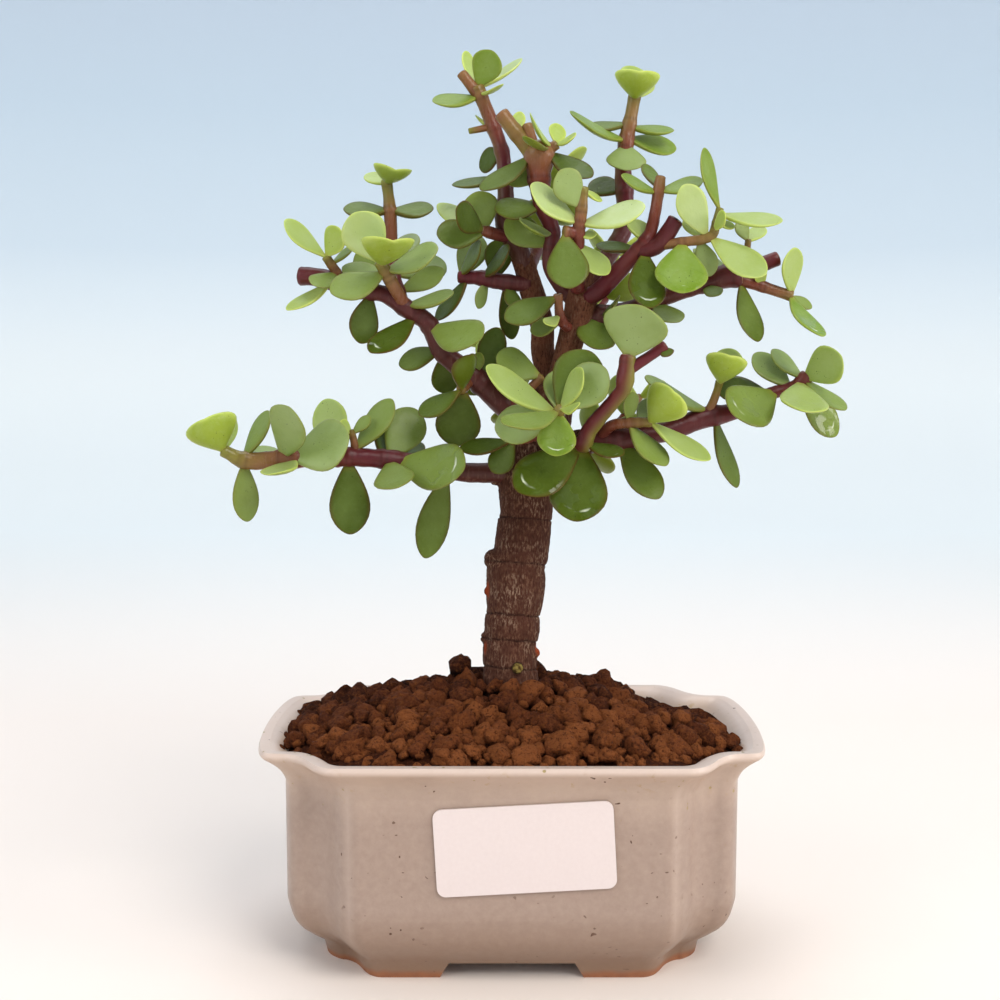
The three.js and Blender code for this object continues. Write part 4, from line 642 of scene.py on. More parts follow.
def catmull(points, step):
    """Points and radii along a smooth curve through rows, about step apart."""
    rows = np.asarray(points, float)
    rows = np.vstack([2 * rows[0] - rows[1], rows, 2 * rows[-1] - rows[-2]])
    out = []
    for p0, p1, p2, p3 in zip(rows, rows[1:], rows[2:], rows[3:]):
        # tangents scaled to this stretch, so that short stretches don't overshoot
        before, length, after = [np.linalg.norm((b - a)[:3]) for a, b in ((p0, p1), (p1, p2), (p2, p3))]
        m1 = (p2 - p0) * length / (before + length)
        m2 = (p3 - p1) * length / (after + length)
        count = max(2, int(length / step))
        for t in np.arange(count) / count:
            start, end = 2 * t**3 - 3 * t**2 + 1, 3 * t**2 - 2 * t**3
            out.append(start * p1 + (t**3 - 2 * t**2 + t) * m1 + end * p2 + (t**3 - t**2) * m2)
    return np.array([*out, rows[-2]])


STEM_STEP = 0.8
JOINT_SWELL = 0.13
JOINT_REACH = 1.3
STEM_END = [(0.18, 0.9), (0.3, 0.6), (0.34, 0.2)]  # the rings that round a stem off: how far on, how wide


def from_nearest(centre, roots):
    return np.linalg.norm(centre[:, None] - roots, axis=2).min(1)


def tube_rings(route, sides, roots=None):
    """Rings round a stem, a little wider at each leaf's root, and how far along it each of them is."""
    rows = catmull([[*placed(x, depth, z), radius] for x, depth, z, radius in route], STEM_STEP)
    centre, radius = rows[:, :3], rows[:, 3].copy()
    along = np.concatenate([[0], np.cumsum(np.linalg.norm(np.diff(centre, axis=0), axis=1))])
    if roots is not None:
        radius *= 1 + JOINT_SWELL * np.exp(-((from_nearest(centre, roots) / JOINT_REACH) ** 2))
    tangent = np.gradient(centre, axis=0)
    tangent /= np.linalg.norm(tangent, axis=1)[:, None]
    on, shrink = np.array(STEM_END).T
    on = rows[-1, 3] * on
    centre = np.vstack([centre, centre[-1] + np.outer(on, tangent[-1])])
    tangent = np.vstack([tangent, [tangent[-1]] * len(on)])
    radius, along = np.append(radius, radius[-1] * shrink), np.append(along, along[-1] + on)
    across = unit(np.cross(np.array([0.3, -1, 0.2]), tangent[0]))
    angles = np.arange(sides) * 2 * math.pi / sides
    rings = []
    for c, r, t in zip(centre, radius, tangent):
        across = unit(across - t * (across @ t))
        other = np.cross(t, across)
        rings.append(c + r * (np.outer(np.cos(angles), across) + np.outer(np.sin(angles), other)))
    return np.array(rings), along


# ---- Materials ----
def rgb(code):
    values = [int(code[i : i + 2], 16) / 255 for i in (1, 3, 5)]
    return tuple(c / 12.92 if c <= 0.04045 else ((c + 0.055) / 1.055) ** 2.4 for c in values) + (1,)


class Shader:
    """A material and short names for its nodes; colours are written as hex codes."""

    def __init__(self, name, **settings):
        self.material = bpy.data.materials.new(name)
        self.material.use_nodes = True
        self.tree = self.material.node_tree
        self.surface = self.tree.nodes["Principled BSDF"]
        for key, value in settings.items():
            self.surface.inputs[key.replace("_", " ")].default_value = value

    def node(self, kind, inputs=None, **settings):
        made = self.tree.nodes.new("ShaderNode" + kind)
        for key, value in settings.items():
            setattr(made, key, value)
        for key, value in (inputs or {}).items():
            if isinstance(value, bpy.types.NodeSocket):
                self.tree.links.new(value, made.inputs[key])
            else:
                made.inputs[key].default_value = value
        return made

    def value(self, name):
        return self.node("Attribute", attribute_name=name).outputs["Fac"]

    def ramp(self, factor, stops):
        made = self.node("ValToRGB", {"Fac": factor})
        elements = made.color_ramp.elements
        while len(elements) < len(stops):
            elements.new(0.5)
        for element, (at, colour) in zip(elements, stops):
            element.position = at
            element.color = rgb(colour) if isinstance(colour, str) else (colour, colour, colour, 1)
        return made.outputs["Color"]

    def mix(self, factor, first, second):
        made = self.node("Mix", data_type="RGBA")
        for socket, value in ((made.inputs[0], factor), (made.inputs[6], first), (made.inputs[7], second)):
            if isinstance(value, bpy.types.NodeSocket):
                self.tree.links.new(value, socket)
            else:
                socket.default_value = rgb(value) if isinstance(value, str) else value
        return made.outputs[2]

    def math(self, how, a, b=0.0, clamp=False):
        return self.node("Math", {0: a, 1: b}, operation=how, use_clamp=clamp).outputs[0]

    def plus(self, a, b, clamp=False):
        return self.math("ADD", a, b, clamp)

    def minus(self, a, b, clamp=False):
        return self.math("SUBTRACT", a, b, clamp)

    def times(self, first, *others):
        for other in others:
            first = self.math("MULTIPLY", first, other)
        return first

    def over(self, colour, paint, *cover):
        """The colour with paint over it, as far as the product of the covers."""
        return self.mix(self.times(*cover), colour, paint)

    def place(self):
        return self.node("TexCoord").outputs["Object"]

    def noise(self, scale, detail, roughness=0.5, vector=None, distortion=0.0):
        inputs = {"Scale": scale, "Detail": detail, "Roughness": roughness, "Distortion": distortion}
        inputs["Vector"] = vector or self.place()
        return self.node("TexNoise", inputs).outputs["Fac"]

    def stretched(self, x, y, z):
        return self.node("Mapping", {"Vector": self.place(), "Scale": (x, y, z)}).outputs[0]

    def between(self, value, low, high):
        return self.node("MapRange", {"Value": value, "From Min": low, "From Max": high}).outputs[0]

    def to(self, socket, value):
        self.tree.links.new(value, self.surface.inputs[socket])

    def bump(self, height, distance, strength):
        inputs = {"Height": height, "Distance": distance, "Strength": strength}
        self.to("Normal", self.node("Bump", inputs).outputs[0])


def leaf_material():
    m = Shader("jade_leaf", Subsurface_Weight=0.14, Subsurface_Scale=0.002, Coat_IOR=1.4)
    m.surface.inputs["Subsurface Radius"].default_value = (0.7, 1.0, 0.2)
    tone, bloom, wet, edge, upper = map(m.value, ("tone", "bloom", "wet", "edge", "upper"))
    t, mid = m.value("t"), m.value("mid")
    greens = [(0, "#303d03"), (0.25, "#50610f"), (0.42, "#6d7f22"), (0.6, "#668410"), (0.8, "#8ca03f")]
    colour = m.ramp(tone, greens + [(1, "#96aa3b")])
    # a paler green for bloom, patches and grain, which also paints a sheen on the upper face
    pale_and_painted_sheen = m.ramp(tone, [(0, "#5c7033"), (0.3, "#7c914f"), (0.55, "#96a96b"), (1, "#b4c588")])
    patch, top = m.noise(150, 2), m.between(upper, -0.15, 0.35)
    colour = m.over(colour, pale_and_painted_sheen, m.between(patch, 0.4, 0.75), 0.25)
    # painted sheen: the middle of each upper face is paler
    colour = m.over(colour, pale_and_painted_sheen, mid, top, 0.28)
    colour = m.over(colour, pale_and_painted_sheen, m.between(m.noise(800, 4, 0.7), 0.5, 0.68), 0.16)
    # bloom, laid on the upper face only, so it is partly a painted sheen
    colour = m.over(colour, pale_and_painted_sheen, bloom, top, m.between(patch, -0.3, 0.6))
    colour = m.over(colour, "#7f8f26", m.between(upper, 0.1, -0.5), 0.3)
    colour = m.over(colour, "#9c8f38", m.between(t, 0.2, 0.0), 0.6)
    # the edge: reddish on an older leaf, pale on a young one
    colour = m.over(colour, "#5c3a22", edge, m.minus(0.8, tone, True))
    colour = m.over(colour, "#c3cf6c", edge, m.between(tone, 0.35, 1.2))
    speck = m.ramp(m.noise(2600, 0), [(0.17, 1.0), (0.2, 0.0)])
    colour = m.over(colour, "#2a2a14", speck, m.between(m.noise(170, 0), 0.5, 0.62))
    # a painted highlight: a pale gleam drawn round a wet leaf's tip
    painted_gleam_offset = m.math("ABSOLUTE", m.minus(m.plus(mid, m.times(m.noise(170, 1), 0.16)), 0.5))
    painted_gleam = m.times(m.between(painted_gleam_offset, 0.05, 0.015), m.between(t, 0.8, 0.86))
    painted_gleam = m.times(painted_gleam, m.between(m.noise(230, 1), 0.38, 0.56))
    m.to("Base Color", m.over(colour, "#dfe8cf", painted_gleam, m.between(wet, 0.3, 1.1)))
    pool = m.times(m.between(m.noise(230, 1, distortion=0.8), 0.47, 0.52), m.between(t, 0.45, 0.62))
    puddle = m.math("MULTIPLY", m.times(wet, pool), m.between(t, 0.96, 0.9), True)
    m.to("Coat Weight", m.times(puddle, 0.8))
    gloss = m.plus(m.times(tone, 0.1), m.plus(m.times(bloom, 0.2), 0.1))
    m.to("Specular IOR Level", m.minus(gloss, m.times(wet, 0.08), True))
    m.to("Roughness", m.plus(m.times(m.noise(1500, 3), 0.2), 0.25))
    m.bump(m.plus(m.noise(420, 5, 0.7), m.times(puddle, 0.9)), 0.00028, 0.6)
    return m.material


def wood_material():
    """Stems from green tips to crimson-brown and old bark, by the point value age."""
    m = Shader("stem_bark", Specular_IOR_Level=0.25)
    age = m.value("age")
    wobble = m.times(m.minus(m.noise(140, 3), 0.5), 0.22)
    young = [(0, "#828c38"), (0.18, "#7b6c33"), (0.32, "#835a3a"), (0.46, "#733b2d")]
    colour = m.ramp(m.plus(age, wobble, True), young + [(0.64, "#5c1f26"), (0.78, "#542825"), (1, "#503629")])
    streak = m.noise(1.0, 4, 0.65, vector=m.stretched(900, 900, 140))
    colour = m.over(colour, "#9a7a66", m.between(streak, 0.55, 0.85), m.between(age, 0.65, 1.0))
    colour = m.over(colour, "#38201a", m.between(streak, 0.4, 0.2), 0.35)
    colour = m.over(colour, "#351a14", m.value("ring"), 0.35)
    colour = m.over(colour, "#7b7a34", m.value("olive"), 0.8)
    pith = m.mix(m.between(m.noise(620, 3), 0.4, 0.6), "#32201a", "#a08066")
    m.to("Base Color", m.over(colour, pith, m.between(m.value("cut"), 0.6, 1.0)))
    m.to("Roughness", m.plus(m.times(age, 0.3), m.times(streak, 0.3)))
    m.bump(m.plus(m.noise(500, 3), m.times(streak, 0.8)), 0.0003, 0.5)
    return m.material


def trunk_material():
    m = Shader("old_bark", Specular_IOR_Level=0.12, Roughness=0.85)
    bud, smooth = m.value("bud"), m.value("smooth")
    colour = m.mix(m.noise(60, 3), "#41251a", "#59372b")
    colour = m.over(colour, m.mix(m.noise(90, 3), "#764a33", "#5c382b"), smooth)
    fibre = m.noise(1.0, 4, 0.65, vector=m.stretched(1900, 1900, 640))
    flake = m.times(m.between(fibre, 0.5, 0.6), m.between(m.noise(330, 3), 0.32, 0.6))
    pale = m.mix(m.between(m.noise(180, 2), 0.45, 0.65), "#82604c", "#ad917a")
    colour = m.over(colour, pale, flake, m.minus(0.6, m.times(smooth, 0.3)))
    colour = m.over(colour, "#2f1812", m.between(fibre, 0.46, 0.34), 0.7)
    colour = m.over(colour, "#1f110d", m.value("ring"), 0.75)
    colour = m.over(colour, m.mix(m.noise(500, 3), "#a8471f", "#6e2f1c"), m.value("scar"))
    colour = m.over(colour, "#2a1c10", m.between(bud, 0.0, 0.3))
    scales = m.mix(m.between(m.noise(900, 3), 0.4, 0.6), "#453317", "#86743c")
    m.to("Base Color", m.over(colour, scales, m.between(bud, 0.4, 0.9)))
    m.bump(m.plus(m.times(fibre, 1.3), m.noise(900, 4, 0.6)), 0.0006, 0.8)
    return m.material


def soil_material():
    m = Shader("baked_granules", Specular_IOR_Level=0.1, Roughness=0.95)
    browns = [(0, "#22100a"), (0.25, "#472315"), (0.5, "#65351f"), (0.8, "#844929"), (1, "#a05d34")]
    colour = m.ramp(m.value("shade"), browns)
    grit = m.noise(800, 5, 0.75)
    colour = m.over(colour, "#a5622f", m.between(grit, 0.52, 0.64), 0.4)
    m.to("Base Color", m.over(colour, "#2c150c", m.between(grit, 0.48, 0.36), 0.75))
    m.bump(m.plus(m.noise(450, 4, 0.7), grit), 0.0035, 1.0)
    return m.material


def glaze_material():
    m = Shader("pot_glaze", Specular_IOR_Level=0.5, Coat_Weight=0.12, Coat_Roughness=0.25)
    along_x, across_y, height = m.node("SeparateXYZ", {0: m.place()}).outputs
    colour = m.mix(m.noise(30, 4), "#988173", "#a08a7e")
    colour = m.over(colour, "#b5a08f", m.between(m.noise(420, 5, 0.7), 0.35, 0.75), 0.45)
    # a pale band that drips from the rim, the top of the lip painted lighter as a highlight, and a darker foot
    drip = m.times(m.minus(m.noise(1.0, 3, vector=m.stretched(60, 60, 10)), 0.5), 0.016)
    top = m.between(m.plus(height, drip), 0.048, 0.063)
    colour = m.over(colour, "#cdb5a2", top, 0.6)
    pits = m.times(m.between(m.noise(330, 3, 0.6), 0.4, 0.3), m.between(m.noise(60, 2), 0.42, 0.6))
    colour = m.over(colour, "#a98a5c", pits, top, 0.6)
    # painted highlight along the top of the lip
    colour = m.over(colour, "#d6c2b6", m.between(height, 0.0634, 0.0652), 0.75)
    colour = m.over(colour, "#7b5a3e", m.between(height, 0.024, 0.002), 0.7)
    # painted highlight: a lighter line on the upright ridges beside the corners
    off_ridge = m.math("ABSOLUTE", m.minus(m.math("ABSOLUTE", along_x), 0.0456))
    painted_ridge_highlight = m.times(m.between(off_ridge, 0.0018, 0.0), m.between(m.math("ABSOLUTE", across_y), 0.037, 0.039))
    painted_ridge_highlight = m.times(painted_ridge_highlight, m.times(m.between(height, 0.01, 0.018), m.between(height, 0.062, 0.056)))
    colour = m.over(colour, "#cdb9ab", painted_ridge_highlight, 0.25)
    bare = m.between(m.plus(height, m.times(m.noise(120, 3), 0.0022)), 0.0036, 0.0022)
    colour = m.over(colour, m.mix(m.noise(300, 3), "#a86d48", "#7d4e35"), bare)
    pin = m.times(m.ramp(m.noise(560, 0), [(0.19, 1.0), (0.21, 0.0)]), m.between(m.noise(45, 2), 0.45, 0.62))
    colour = m.over(colour, "#5a3a28", pin)
    pit = m.times(m.ramp(m.noise(420, 1), [(0.22, 1.0), (0.26, 0.0)]), m.between(height, 0.035, 0.055))
    m.to("Base Color", m.over(colour, "#a08c5c", pit))
    m.to("Roughness", m.plus(m.times(m.noise(240, 3), 0.2), m.plus(0.33, m.times(bare, 0.3))))
    lumps = m.plus(m.noise(70, 2), m.times(m.noise(800, 2), 0.1))
    m.bump(m.minus(lumps, m.times(m.plus(pin, pit), 0.5)), 0.0007, 0.5)
    return m.material


def paper_material():
    m = Shader("label_paper", Specular_IOR_Level=0.4, Coat_Weight=0.1, Coat_Roughness=0.2)
    fibre = m.noise(900, 4)
    m.to("Base Color", m.mix(fibre, "#dccecb", "#e3d6d3"))
    m.to("Roughness", m.plus(m.times(fibre, 0.1), 0.36))
    m.bump(m.noise(60, 2), 0.0003, 0.4)
    return m.material


def mesh_plastic_material():
    m = Shader("drain_plastic", Specular_IOR_Level=0.4)
    m.to("Base Color", m.mix(m.noise(300, 3), "#1f2020", "#2f3130"))
    m.to("Roughness", m.plus(m.times(m.noise(700, 2), 0.2), 0.45))
    return m.material


# ---- Leaves and stems ----
LEAF_T = [0, 0.04, 0.09, 0.16, 0.25, *np.linspace(0.35, 0.86, 7), 0.91, 0.95, 0.975, 0.99, 0.998]
LEAF_SIDES = 18
STEM_SIDES = 16
OLIVE_SIDE = np.array([0.85, -0.2, -0.4])  # the side of a young shoot that is another colour


def add_leaf(builder, leaf, seed):
    """A fleshy blade with a thin edge, more bulged beneath than above."""
    tone, bloom, wet = LOOKS[leaf.look]
    t = np.repeat(LEAF_T, LEAF_SIDES)
    turn = np.tile(np.arange(LEAF_SIDES) * 2 * math.pi / LEAF_SIDES, len(LEAF_T))
    s, up = np.cos(turn), np.sin(turn)
    wave = 0.03 * leaf.length * noise.noise(Vector((seed * 3.7, 0, 0)))
    half = leaf.width / 2 * np.maximum(half_width(t), np.where(t < 0.3, 0.14, 0))
    thick = leaf.thick * np.sqrt(np.clip(np.sin(np.pi * np.clip(0.06 + t * 0.94, 0, 1) ** 0.8), 0, 1)) * 0.5
    bulge = np.sign(up) * np.abs(up) ** 0.85 * thick * np.where(up > 0, 0.8, 1.2)
    inset = np.minimum(half * (1 - np.abs(s)), (1 - t) * leaf.length) / 0.45
    jitter = 0.06 * noise.noise(Vector((seed * 1.3, 5, 0)))
    builder.add(
        leaf.points(t, s, half, bulge + wave * s * np.sin(np.pi * t)),
        ring_faces(len(LEAF_T), LEAF_SIDES),
        tone=np.clip(tone + jitter, 0, 1),
        bloom=bloom,
        wet=wet,
        edge=np.exp(-inset * inset),
        upper=up,
        t=t,
        mid=(1 - s * s) * np.sin(np.pi * t),
    )


def add_stem(builder, route, ages, roots, seed):
    """A stem with a scar ring at each leaf joint, which looks cut at its end where it is old enough."""
    rings, along = tube_rings(route, STEM_SIDES, roots)
    flat = rings.reshape(-1, 3)
    centre = np.repeat(rings.mean(1), STEM_SIDES, axis=0)
    bumps = np.array([noise.noise(Vector(p * 0.45) + Vector((seed, 0, 0))) for p in flat])
    flat = flat + (flat - centre) * (0.07 * bumps)[:, None]
    start, end, side = (*ages, 0)[:3]
    age = start + (end - start) * np.repeat(along / along[-1], STEM_SIDES) ** 2
    olive = np.clip(((flat - centre) @ OLIVE_SIDE) * 0.5 * side, 0, 1) * np.clip((1 - age) * 2.5, 0, 1)
    ring = np.exp(-(((from_nearest(centre, roots) - 0.9) / 0.35) ** 2))
    last = np.repeat(np.arange(len(rings)) >= len(rings) - len(STEM_END), STEM_SIDES)
    faces = ring_faces(len(rings), STEM_SIDES)
    builder.add(flat, faces, age=age, ring=ring, cut=last * (age > 0.3), olive=olive)


def dress_spray(name, stems, ages, leaves, seed):
    foliage, wood = Builder(), Builder()
    for i, leaf in enumerate(leaves):
        add_leaf(foliage, leaf, seed + i)
    roots = np.array([leaf.root for leaf in leaves])
    for i, (route, age) in enumerate(zip(stems, ages)):
        add_stem(wood, route, age, roots, seed + i)
    declare(foliage.piece(f"{name}_leaves", LEAF), name)
    declare(wood.piece(f"{name}_stems", STEM), name)


# ---- Trunk ----
def fused(builder, voxel):
    """One skin round the builder's overlapping tubes."""
    rough = linked("fused", builder.mesh("fused"))
    remesh = rough.modifiers.new("skin", "REMESH")
    remesh.mode, remesh.voxel_size = "VOXEL", voxel * MM
    soften = rough.modifiers.new("soften", "SMOOTH")
    soften.iterations, soften.factor = 3, 0.5
    return modified(rough)


RINGS = (128.7, 115.3, 99.4, 91.6, 83)  # old leaf joints round the trunk, by height
RING_TILT = (0.08, 0.17, 1)  # a joint runs lower on the right and at the back
SCARS = [(-7.5, -3, 106.8, 2), (8.2, -2, 88.6, 1.7), (-7.8, -3, 89, 1.5)]
BUD = (2, -8.4, 82.9, 1.9)
TRUNK_SIDES = 40
TRUNK_VOXEL = 0.42
LEADERS_START = 158  # the height from which the bark is smoother


def make_trunk():
    builder = Builder()
    for route in TRUNK:
        rings, _ = tube_rings(route, TRUNK_SIDES)
        lofted(builder, rings)
    for x, depth, z, radius in KNOBS:
        points, faces = icosphere(3, radius * 0.92)
        builder.add(points + placed(x, depth, z), faces)
    mesh = fused(builder, TRUNK_VOXEL)
    points, normals = vertex_vectors(mesh, "co") / MM, vertex_vectors(mesh, "normal")
    ring, scar = np.zeros(len(points)), np.zeros(len(points))
    for z in RINGS:
        edge = points @ RING_TILT - z - 0.12 * np.sin(points[:, 0] * 0.9 + z)
        ring = np.maximum(ring, np.exp(-((edge / 0.22) ** 2)) * (points[:, 2] < 150))
    for x, depth, z, radius in SCARS:
        distance = np.linalg.norm((points - placed(x, depth, z)) / [1, 1, 1.7], axis=1)
        scar = np.maximum(scar, np.clip(1.6 * (1 - distance / radius), 0, 1))
    bud = np.clip(3 * (1 - np.linalg.norm(points - placed(*BUD[:3]), axis=1) / BUD[3]), 0, 1)
    smooth = np.clip((points[:, 2] - LEADERS_START) / 12, 0, 1)
    furrow = np.array([noise.noise(Vector((x * 1.1, y * 1.1, z * 0.16))) for x, y, z in points])
    crumb = np.array([noise.fractal(Vector(p * 0.9), 1.0, 2.0, 3) for p in points])
    push = (0.22 * furrow + 0.12 * crumb) * (1 - 0.55 * smooth) - 0.4 * ring * (1 - bud) + 0.5 * bud
    mesh.vertices.foreach_set("co", ((points + normals * push[:, None]) * MM).ravel())
    for key, values in (("ring", ring), ("scar", scar), ("bud", bud), ("smooth", smooth)):
        add_values(mesh, key, values)
    declare(finished("trunk_bark", mesh, trunk_material()), "trunk")


# ---- Pot ----
def pot_section(section, grow=0.0):
    """A quarter of the outline with its panel and corner notch, mirrored twice."""
    z, half_x, half_y, cut_x, cut_y, turn = section
    x, y = half_x + grow, half_y + grow
    lobe = y - cut_y
    quarter = [
        *((x - PANEL_BULGE * lost, lobe * share) for share, lost in SIDE_PANEL),
        (x - PANEL_BULGE, lobe - turn * LOBE_ROUND[0]),
        (x - PANEL_BULGE - turn * LOBE_ROUND[1], lobe),
        *((x - cut_x * inward, y - cut_y * deep) for inward, deep in CORNER_NOTCH),
        (x - cut_x, y - PANEL_ROUND / 4),
        (x - cut_x - PANEL_ROUND, y),
        (x - cut_x - PANEL_ROUND - 1.5, y),
    ]
    half = quarter + [(-px, py) for px, py in reversed(quarter)]
    whole = half + [(px, -py) for px, py in reversed(half)]
    return np.array([(px, py, z) for px, py in whole])


def chaikin(rows, closed):
    """Cuts every corner at a quarter of both its sides."""
    rows = np.asarray(rows, float)
    following = np.roll(rows, -1, axis=0)
    cut = np.stack([0.75 * rows + 0.25 * following, 0.25 * rows + 0.75 * following], axis=1)
    if closed:
        return cut.reshape(-1, rows.shape[1])
    return np.vstack([rows[:1], cut[:-1].reshape(-1, rows.shape[1]), rows[-1:]])


def supported(rows):
    """One more row near each end of a long stretch, which keeps it flat when its corners are rounded."""
    rows = np.asarray(rows, float)
    out = [rows[0]]
    for a, b in zip(rows, rows[1:]):
        reach = 1.5 / np.linalg.norm(b - a)
        out += [b] if reach > 0.2 else [a + (b - a) * reach, b + (a - b) * reach, b]
    return out


def rounded(section, grow=0.0):
    ring = pot_section(section, grow)
    for _ in range(3):
        ring = chaikin(ring, True)
    return ring


def solid_object(rings):
    builder = Builder()
    lofted(builder, rings)
    return linked("solid", builder.mesh("solid"))


def foot_arch(arch, along_x):
    """A bar right through the pot, which cuts the arch between its feet."""
    low, high = arch
    outline = [(-low, -1), (low, -1), (high, FOOT_HEIGHT), (-high, FOOT_HEIGHT)]
    ends = (-100, 100)
    return solid_object([[(end, u, z) if along_x else (-u, end, z) for u, z in outline] for end in ends])


def make_pot():
    outside, inside = supported(POT_OUTSIDE), supported(POT_INSIDE)
    for _ in range(2):
        outside, inside = chaikin(outside, False), chaikin(inside, False)
    lip = (RIM_TOP - 0.02, *outside[-1][1:])
    pot = solid_object([rounded(section) for section in [*outside[:-1], lip, *inside]])
    ground = POT_OUTSIDE[0][1:]
    cutters = [
        solid_object([rounded((z, *ground), -FOOT_WALL) for z in (-1, FOOT_HEIGHT)]),
        foot_arch(FRONT_ARCH, False),
        foot_arch(SIDE_ARCH, True),
    ]
    angles = np.linspace(0, 2 * math.pi, 40, endpoint=False)
    x, y = DRAIN_RADIUS * np.cos(angles), DRAIN_RADIUS * np.sin(angles)
    for middle in (-DRAIN_X, DRAIN_X):
        cutters.append(solid_object([np.column_stack([middle + x, y, np.full(40, z)]) for z in (-3, 20)]))
    for cutter in cutters:
        cut = pot.modifiers.new("cut", "BOOLEAN")
        cut.operation, cut.object, cut.solver = "DIFFERENCE", cutter, "EXACT"
    declare(finished("glazed_pot", modified(pot, *cutters), glaze_material(), 40), "pot")


# ---- Soil ----
TRUNK_HOLE = 8.5
CORNER_SUM = 1.5  # of the shares of both half widths, where the soil's cut corners run
HOLLOW_ROOM = 2.2  # how much further from the wall the granules lie where the soil has sunk
ROW_PITCH = 0.87  # of the pitch in a row of granules
COARSE = {"pitch": 6.1, "smallest": 2, "largest": 4.1, "sunk": 0.25, "from_wall": 0.95, "subdivisions": 3}
FINE = {"pitch": 3.9, "smallest": 1.2, "largest": 2.2, "sunk": 0.8, "from_wall": 0.6, "subdivisions": 2}


def inside_at(z):
    """The section of the pot's inside at a height."""
    for high, low in zip(POT_INSIDE, POT_INSIDE[1:]):
        if z >= low[0]:
            share = min(1, (z - low[0]) / (high[0] - low[0]))
            return (z, *[b + (a - b) * share for a, b in zip(high[1:], low[1:])])
    return (z, *POT_INSIDE[-1][1:])


def soil_height(share, x, y):
    """The mound, which has sunk at the back on the right; share is 0 in the middle and 1 at the edge."""
    hollow = 4.5 * np.clip((x - 32) / 10, 0, 1) * np.clip((y + 8) / 12, 0, 1)
    return SOIL_EDGE + (SOIL_CROWN - SOIL_EDGE) * (1 - share**2) - hollow


def granule(builder, centre, radius, draw, subdivisions, shade):
    """A lump of baked clay: a lobed ball with eight broken faces, its lower side painted darker as shade."""
    points, faces = icosphere(subdivisions)
    offset = Vector((draw() * 90, draw() * 90, draw() * 90))
    large = np.array([noise.noise(Vector(p * 1.3) + offset) for p in points])
    small = np.array([noise.noise(Vector(p * 3.4) + offset) for p in points])
    squash = np.array([0.8 + 0.5 * draw() for _ in range(3)])
    turn = np.array(Matrix.Rotation(6.28 * draw(), 3, Vector((draw() - 0.5, draw() - 0.5, draw() - 0.5))))
    lobes = (points * (1.1 + 0.5 * large + 0.3 * abs(small))[:, None] * squash) @ turn
    for _ in range(8):
        side = unit([draw() - 0.5, draw() - 0.5, draw() - 0.5])
        lobes -= 0.85 * np.multiply.outer(np.clip(lobes @ side - 0.7 - 0.2 * draw(), 0, None), side)
    # painted shade: each granule darkens towards its lower side, as in the gaps between granules
    builder.add(lobes * radius + centre, faces, shade=shade - 0.55 * np.clip(0.15 - lobes[:, 2], 0, 1))


def soil_bed():
    """The body of the soil under its granules."""
    bottom = FLOOR_TOP + 0.8 + 2 * GAP
    levels = [rounded(inside_at(z), -GAP) for z in (bottom, 20, 54, 61.5, SOIL_EDGE - 1.5)]
    edge = levels[-1]
    for share in (0.9, 0.8, 0.65, 0.5, 0.35, 0.2, 0.08):
        level = edge * share
        level[:, 2] = soil_height(share, level[:, 0], level[:, 1]) - 2
        levels.append(level)
    bed = Builder()
    lofted(bed, levels, shade=0.35)
    return bed


def granule_layer(draw, pitch, smallest, largest, sunk, from_wall, subdivisions):
    """Rows of loose granules on the mound, between the pot's wall and the trunk."""
    layer = Builder()
    half_x, half_y = inside_at(SOIL_EDGE)[1:3]
    rows, columns = int(half_y / (pitch * ROW_PITCH)), int(half_x / pitch) + 1
    for row in range(-rows, rows + 1):
        for column in range(-columns, columns + 1):
            x = (column + row % 2 * 0.5) * pitch + (draw() - 0.5) * pitch * 0.7
            y = row * pitch * ROW_PITCH + (draw() - 0.5) * pitch * 0.7
            radius = smallest + (largest - smallest) * draw() ** 1.4
            # painted light and shade: granules are lighter at the front of the mound and darker towards the
            # back
            shade = 0.25 + 0.6 * draw() - (0.015 if y < 0 else 0.007) * y
            corner = abs(x) / half_x + abs(y) / half_y
            share = max(abs(x) / half_x, abs(y) / half_y, corner / CORNER_SUM)
            wall = min(half_x - abs(x), half_y - abs(y), (CORNER_SUM - corner) * half_y * 0.8)
            room = radius * from_wall + (HOLLOW_ROOM if x > 30 and y > -12 else 0)
            from_trunk = math.hypot(x, y) - TRUNK_HOLE
            if wall < room or from_trunk < radius * 0.5:
                continue
            z = soil_height(share, x, y) - radius * sunk + 3 * math.exp(-((from_trunk / 7) ** 2))
            granule(layer, np.array([x, y, z]), radius, draw, subdivisions, shade)
    return layer


def make_soil():
    draw = mulberry32(23)
    coarse, fine = granule_layer(draw, **COARSE), granule_layer(draw, **FINE)
    x, depth, z, radius = BIG_GRANULE
    granule(coarse, placed(x - 1.5, depth, z + 1.2), radius * 0.6, draw, 3, 0.3)
    material = soil_material()
    for name, builder in (("soil_bed", soil_bed()), ("soil_granules", coarse), ("soil_grit", fine)):
        declare(builder.piece(name, material), "soil")


# ---- Scene ----
FLOOR_PROFILE = [  # radius, height in metres
    (0, 0), (0.5, 0), (0.9, 0), (1.1, 0.02), (1.3, 0.09), (1.45, 0.22), (1.55, 0.4), (1.6, 0.7), (1.6, 1.6),
]
FLOOR_SIDES = 96
LIGHTS = [  # name, place, target, size, power, colour
    ("key", (0.5, -0.75, 1.0), (0, 0, 0.12), 0.7, 9, "#fffaf3"),
    ("side", (1.1, -0.35, 0.45), (0.03, 0, 0.08), 0.5, 4.6, "#fff8f0"),
    ("fill", (-0.9, -0.6, 0.7), (0, 0, 0.12), 0.9, 4.5, "#fffaf6"),
    ("top", (-0.1, 0.25, 1.3), (0, 0, 0.1), 0.9, 5.5, "#f7faff"),
    ("floor_wash", (0, 0.7, 1.2), (0, 1.15, 0), 0.9, 1.0, "#fbfaf8"),
    ("wall_wash", (0, 0.5, 1.5), (0, 1.6, 0.35), 1.2, 2.4, "#eaf2fc"),
]


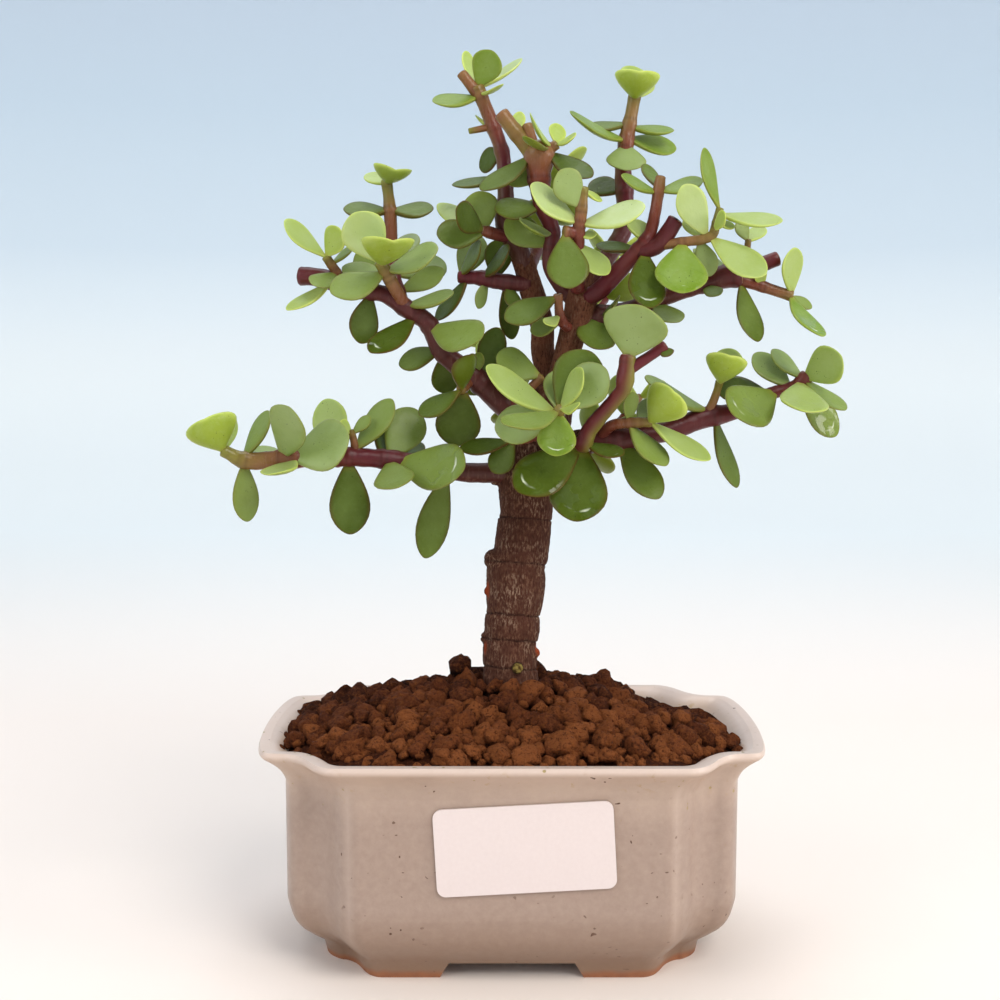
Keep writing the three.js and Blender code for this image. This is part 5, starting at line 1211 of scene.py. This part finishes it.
def floor_material():
    m = Shader("studio_floor", Roughness=0.9, Specular_IOR_Level=0.1)
    far, height = m.node("SeparateXYZ", {0: m.place()}).outputs[1:]
    # painted light falloff: pale near the floor, darker and bluer up the wall
    greys = [(0, "#eee4dc"), (0.12, "#f3f3f1"), (0.3, "#e0eaf0"), (0.7, "#ccdae5"), (1, "#c6d2df")]
    colour = m.ramp(m.between(height, 0, 0.7), greys)
    # painted light: paler at the foot of the wall behind
    painted_light_near_wall = m.mix(m.between(height, 0.12, 0.3), "#f3f7f6", colour)
    m.to("Base Color", m.over(colour, painted_light_near_wall, m.between(far, 0.25, 0.9)))
    return m.material


def make_stage():
    """A round pale floor that curves up into a wall, paler below and bluer above: painted light falloff."""
    rows = catmull([(r, 0, z) for r, z in FLOOR_PROFILE], 0.04)
    angles = np.arange(FLOOR_SIDES) * 2 * math.pi / FLOOR_SIDES
    x, y = np.cos(angles), np.sin(angles)
    rings = [np.stack([r * x, r * y, np.full(FLOOR_SIDES, z)], 1) / MM for r, _, z in rows[1:]]
    builder = Builder()
    builder.add(np.concatenate(rings), ring_faces(len(rings), FLOOR_SIDES, last_cap=False))
    builder.piece("studio_sweep", floor_material())


def make_camera():
    data = bpy.data.cameras.new("camera")
    data.lens, data.sensor_width = CAMERA_LENS, 36
    data.clip_start, data.clip_end = 0.01, 20
    camera = linked("camera", data)
    camera.location = VIEWPOINT * MM
    camera.rotation_euler = (math.radians(90 - CAMERA_DROP), 0, 0)
    bpy.context.scene.camera = camera


def make_lights():
    world = bpy.data.worlds.new("studio_air")
    bpy.context.scene.world = world
    world.use_nodes = True
    background = world.node_tree.nodes["Background"]
    background.inputs["Color"].default_value = rgb("#eef4fb")
    background.inputs["Strength"].default_value = 0.42
    for name, place, target, size, power, colour in LIGHTS:
        data = bpy.data.lights.new(name, "AREA")
        data.shape, data.size, data.energy, data.color = "DISK", size, power, rgb(colour)[:3]
        lamp = linked(name, data)
        lamp.location = place
        lamp.rotation_euler = (Vector(target) - Vector(place)).to_track_quat("-Z", "Y").to_euler()


make_camera()
make_stage()
make_lights()
bpy.context.scene.view_settings.view_transform = "Standard"
LEAF, STEM = leaf_material(), wood_material()
for number, (name, leaves) in enumerate(settle_leaves().items()):
    spray = SPRAYS.get(name) or {"stems": [BACK_SPRAYS[name]], "ages": [BACK_AGES]}
    dress_spray(name, spray["stems"], spray["ages"], leaves, 100 * number)
make_trunk()
make_pot()
make_soil()
# the label and the drain screens keep their solids and get a material
plastic = mesh_plastic_material()
plain = {"label": paper_material(), "drain_screen_left": plastic, "drain_screen_right": plastic}
for node, material in plain.items():
    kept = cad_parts[node]
    kept.data.materials.clear()
    kept.data.materials.append(material)
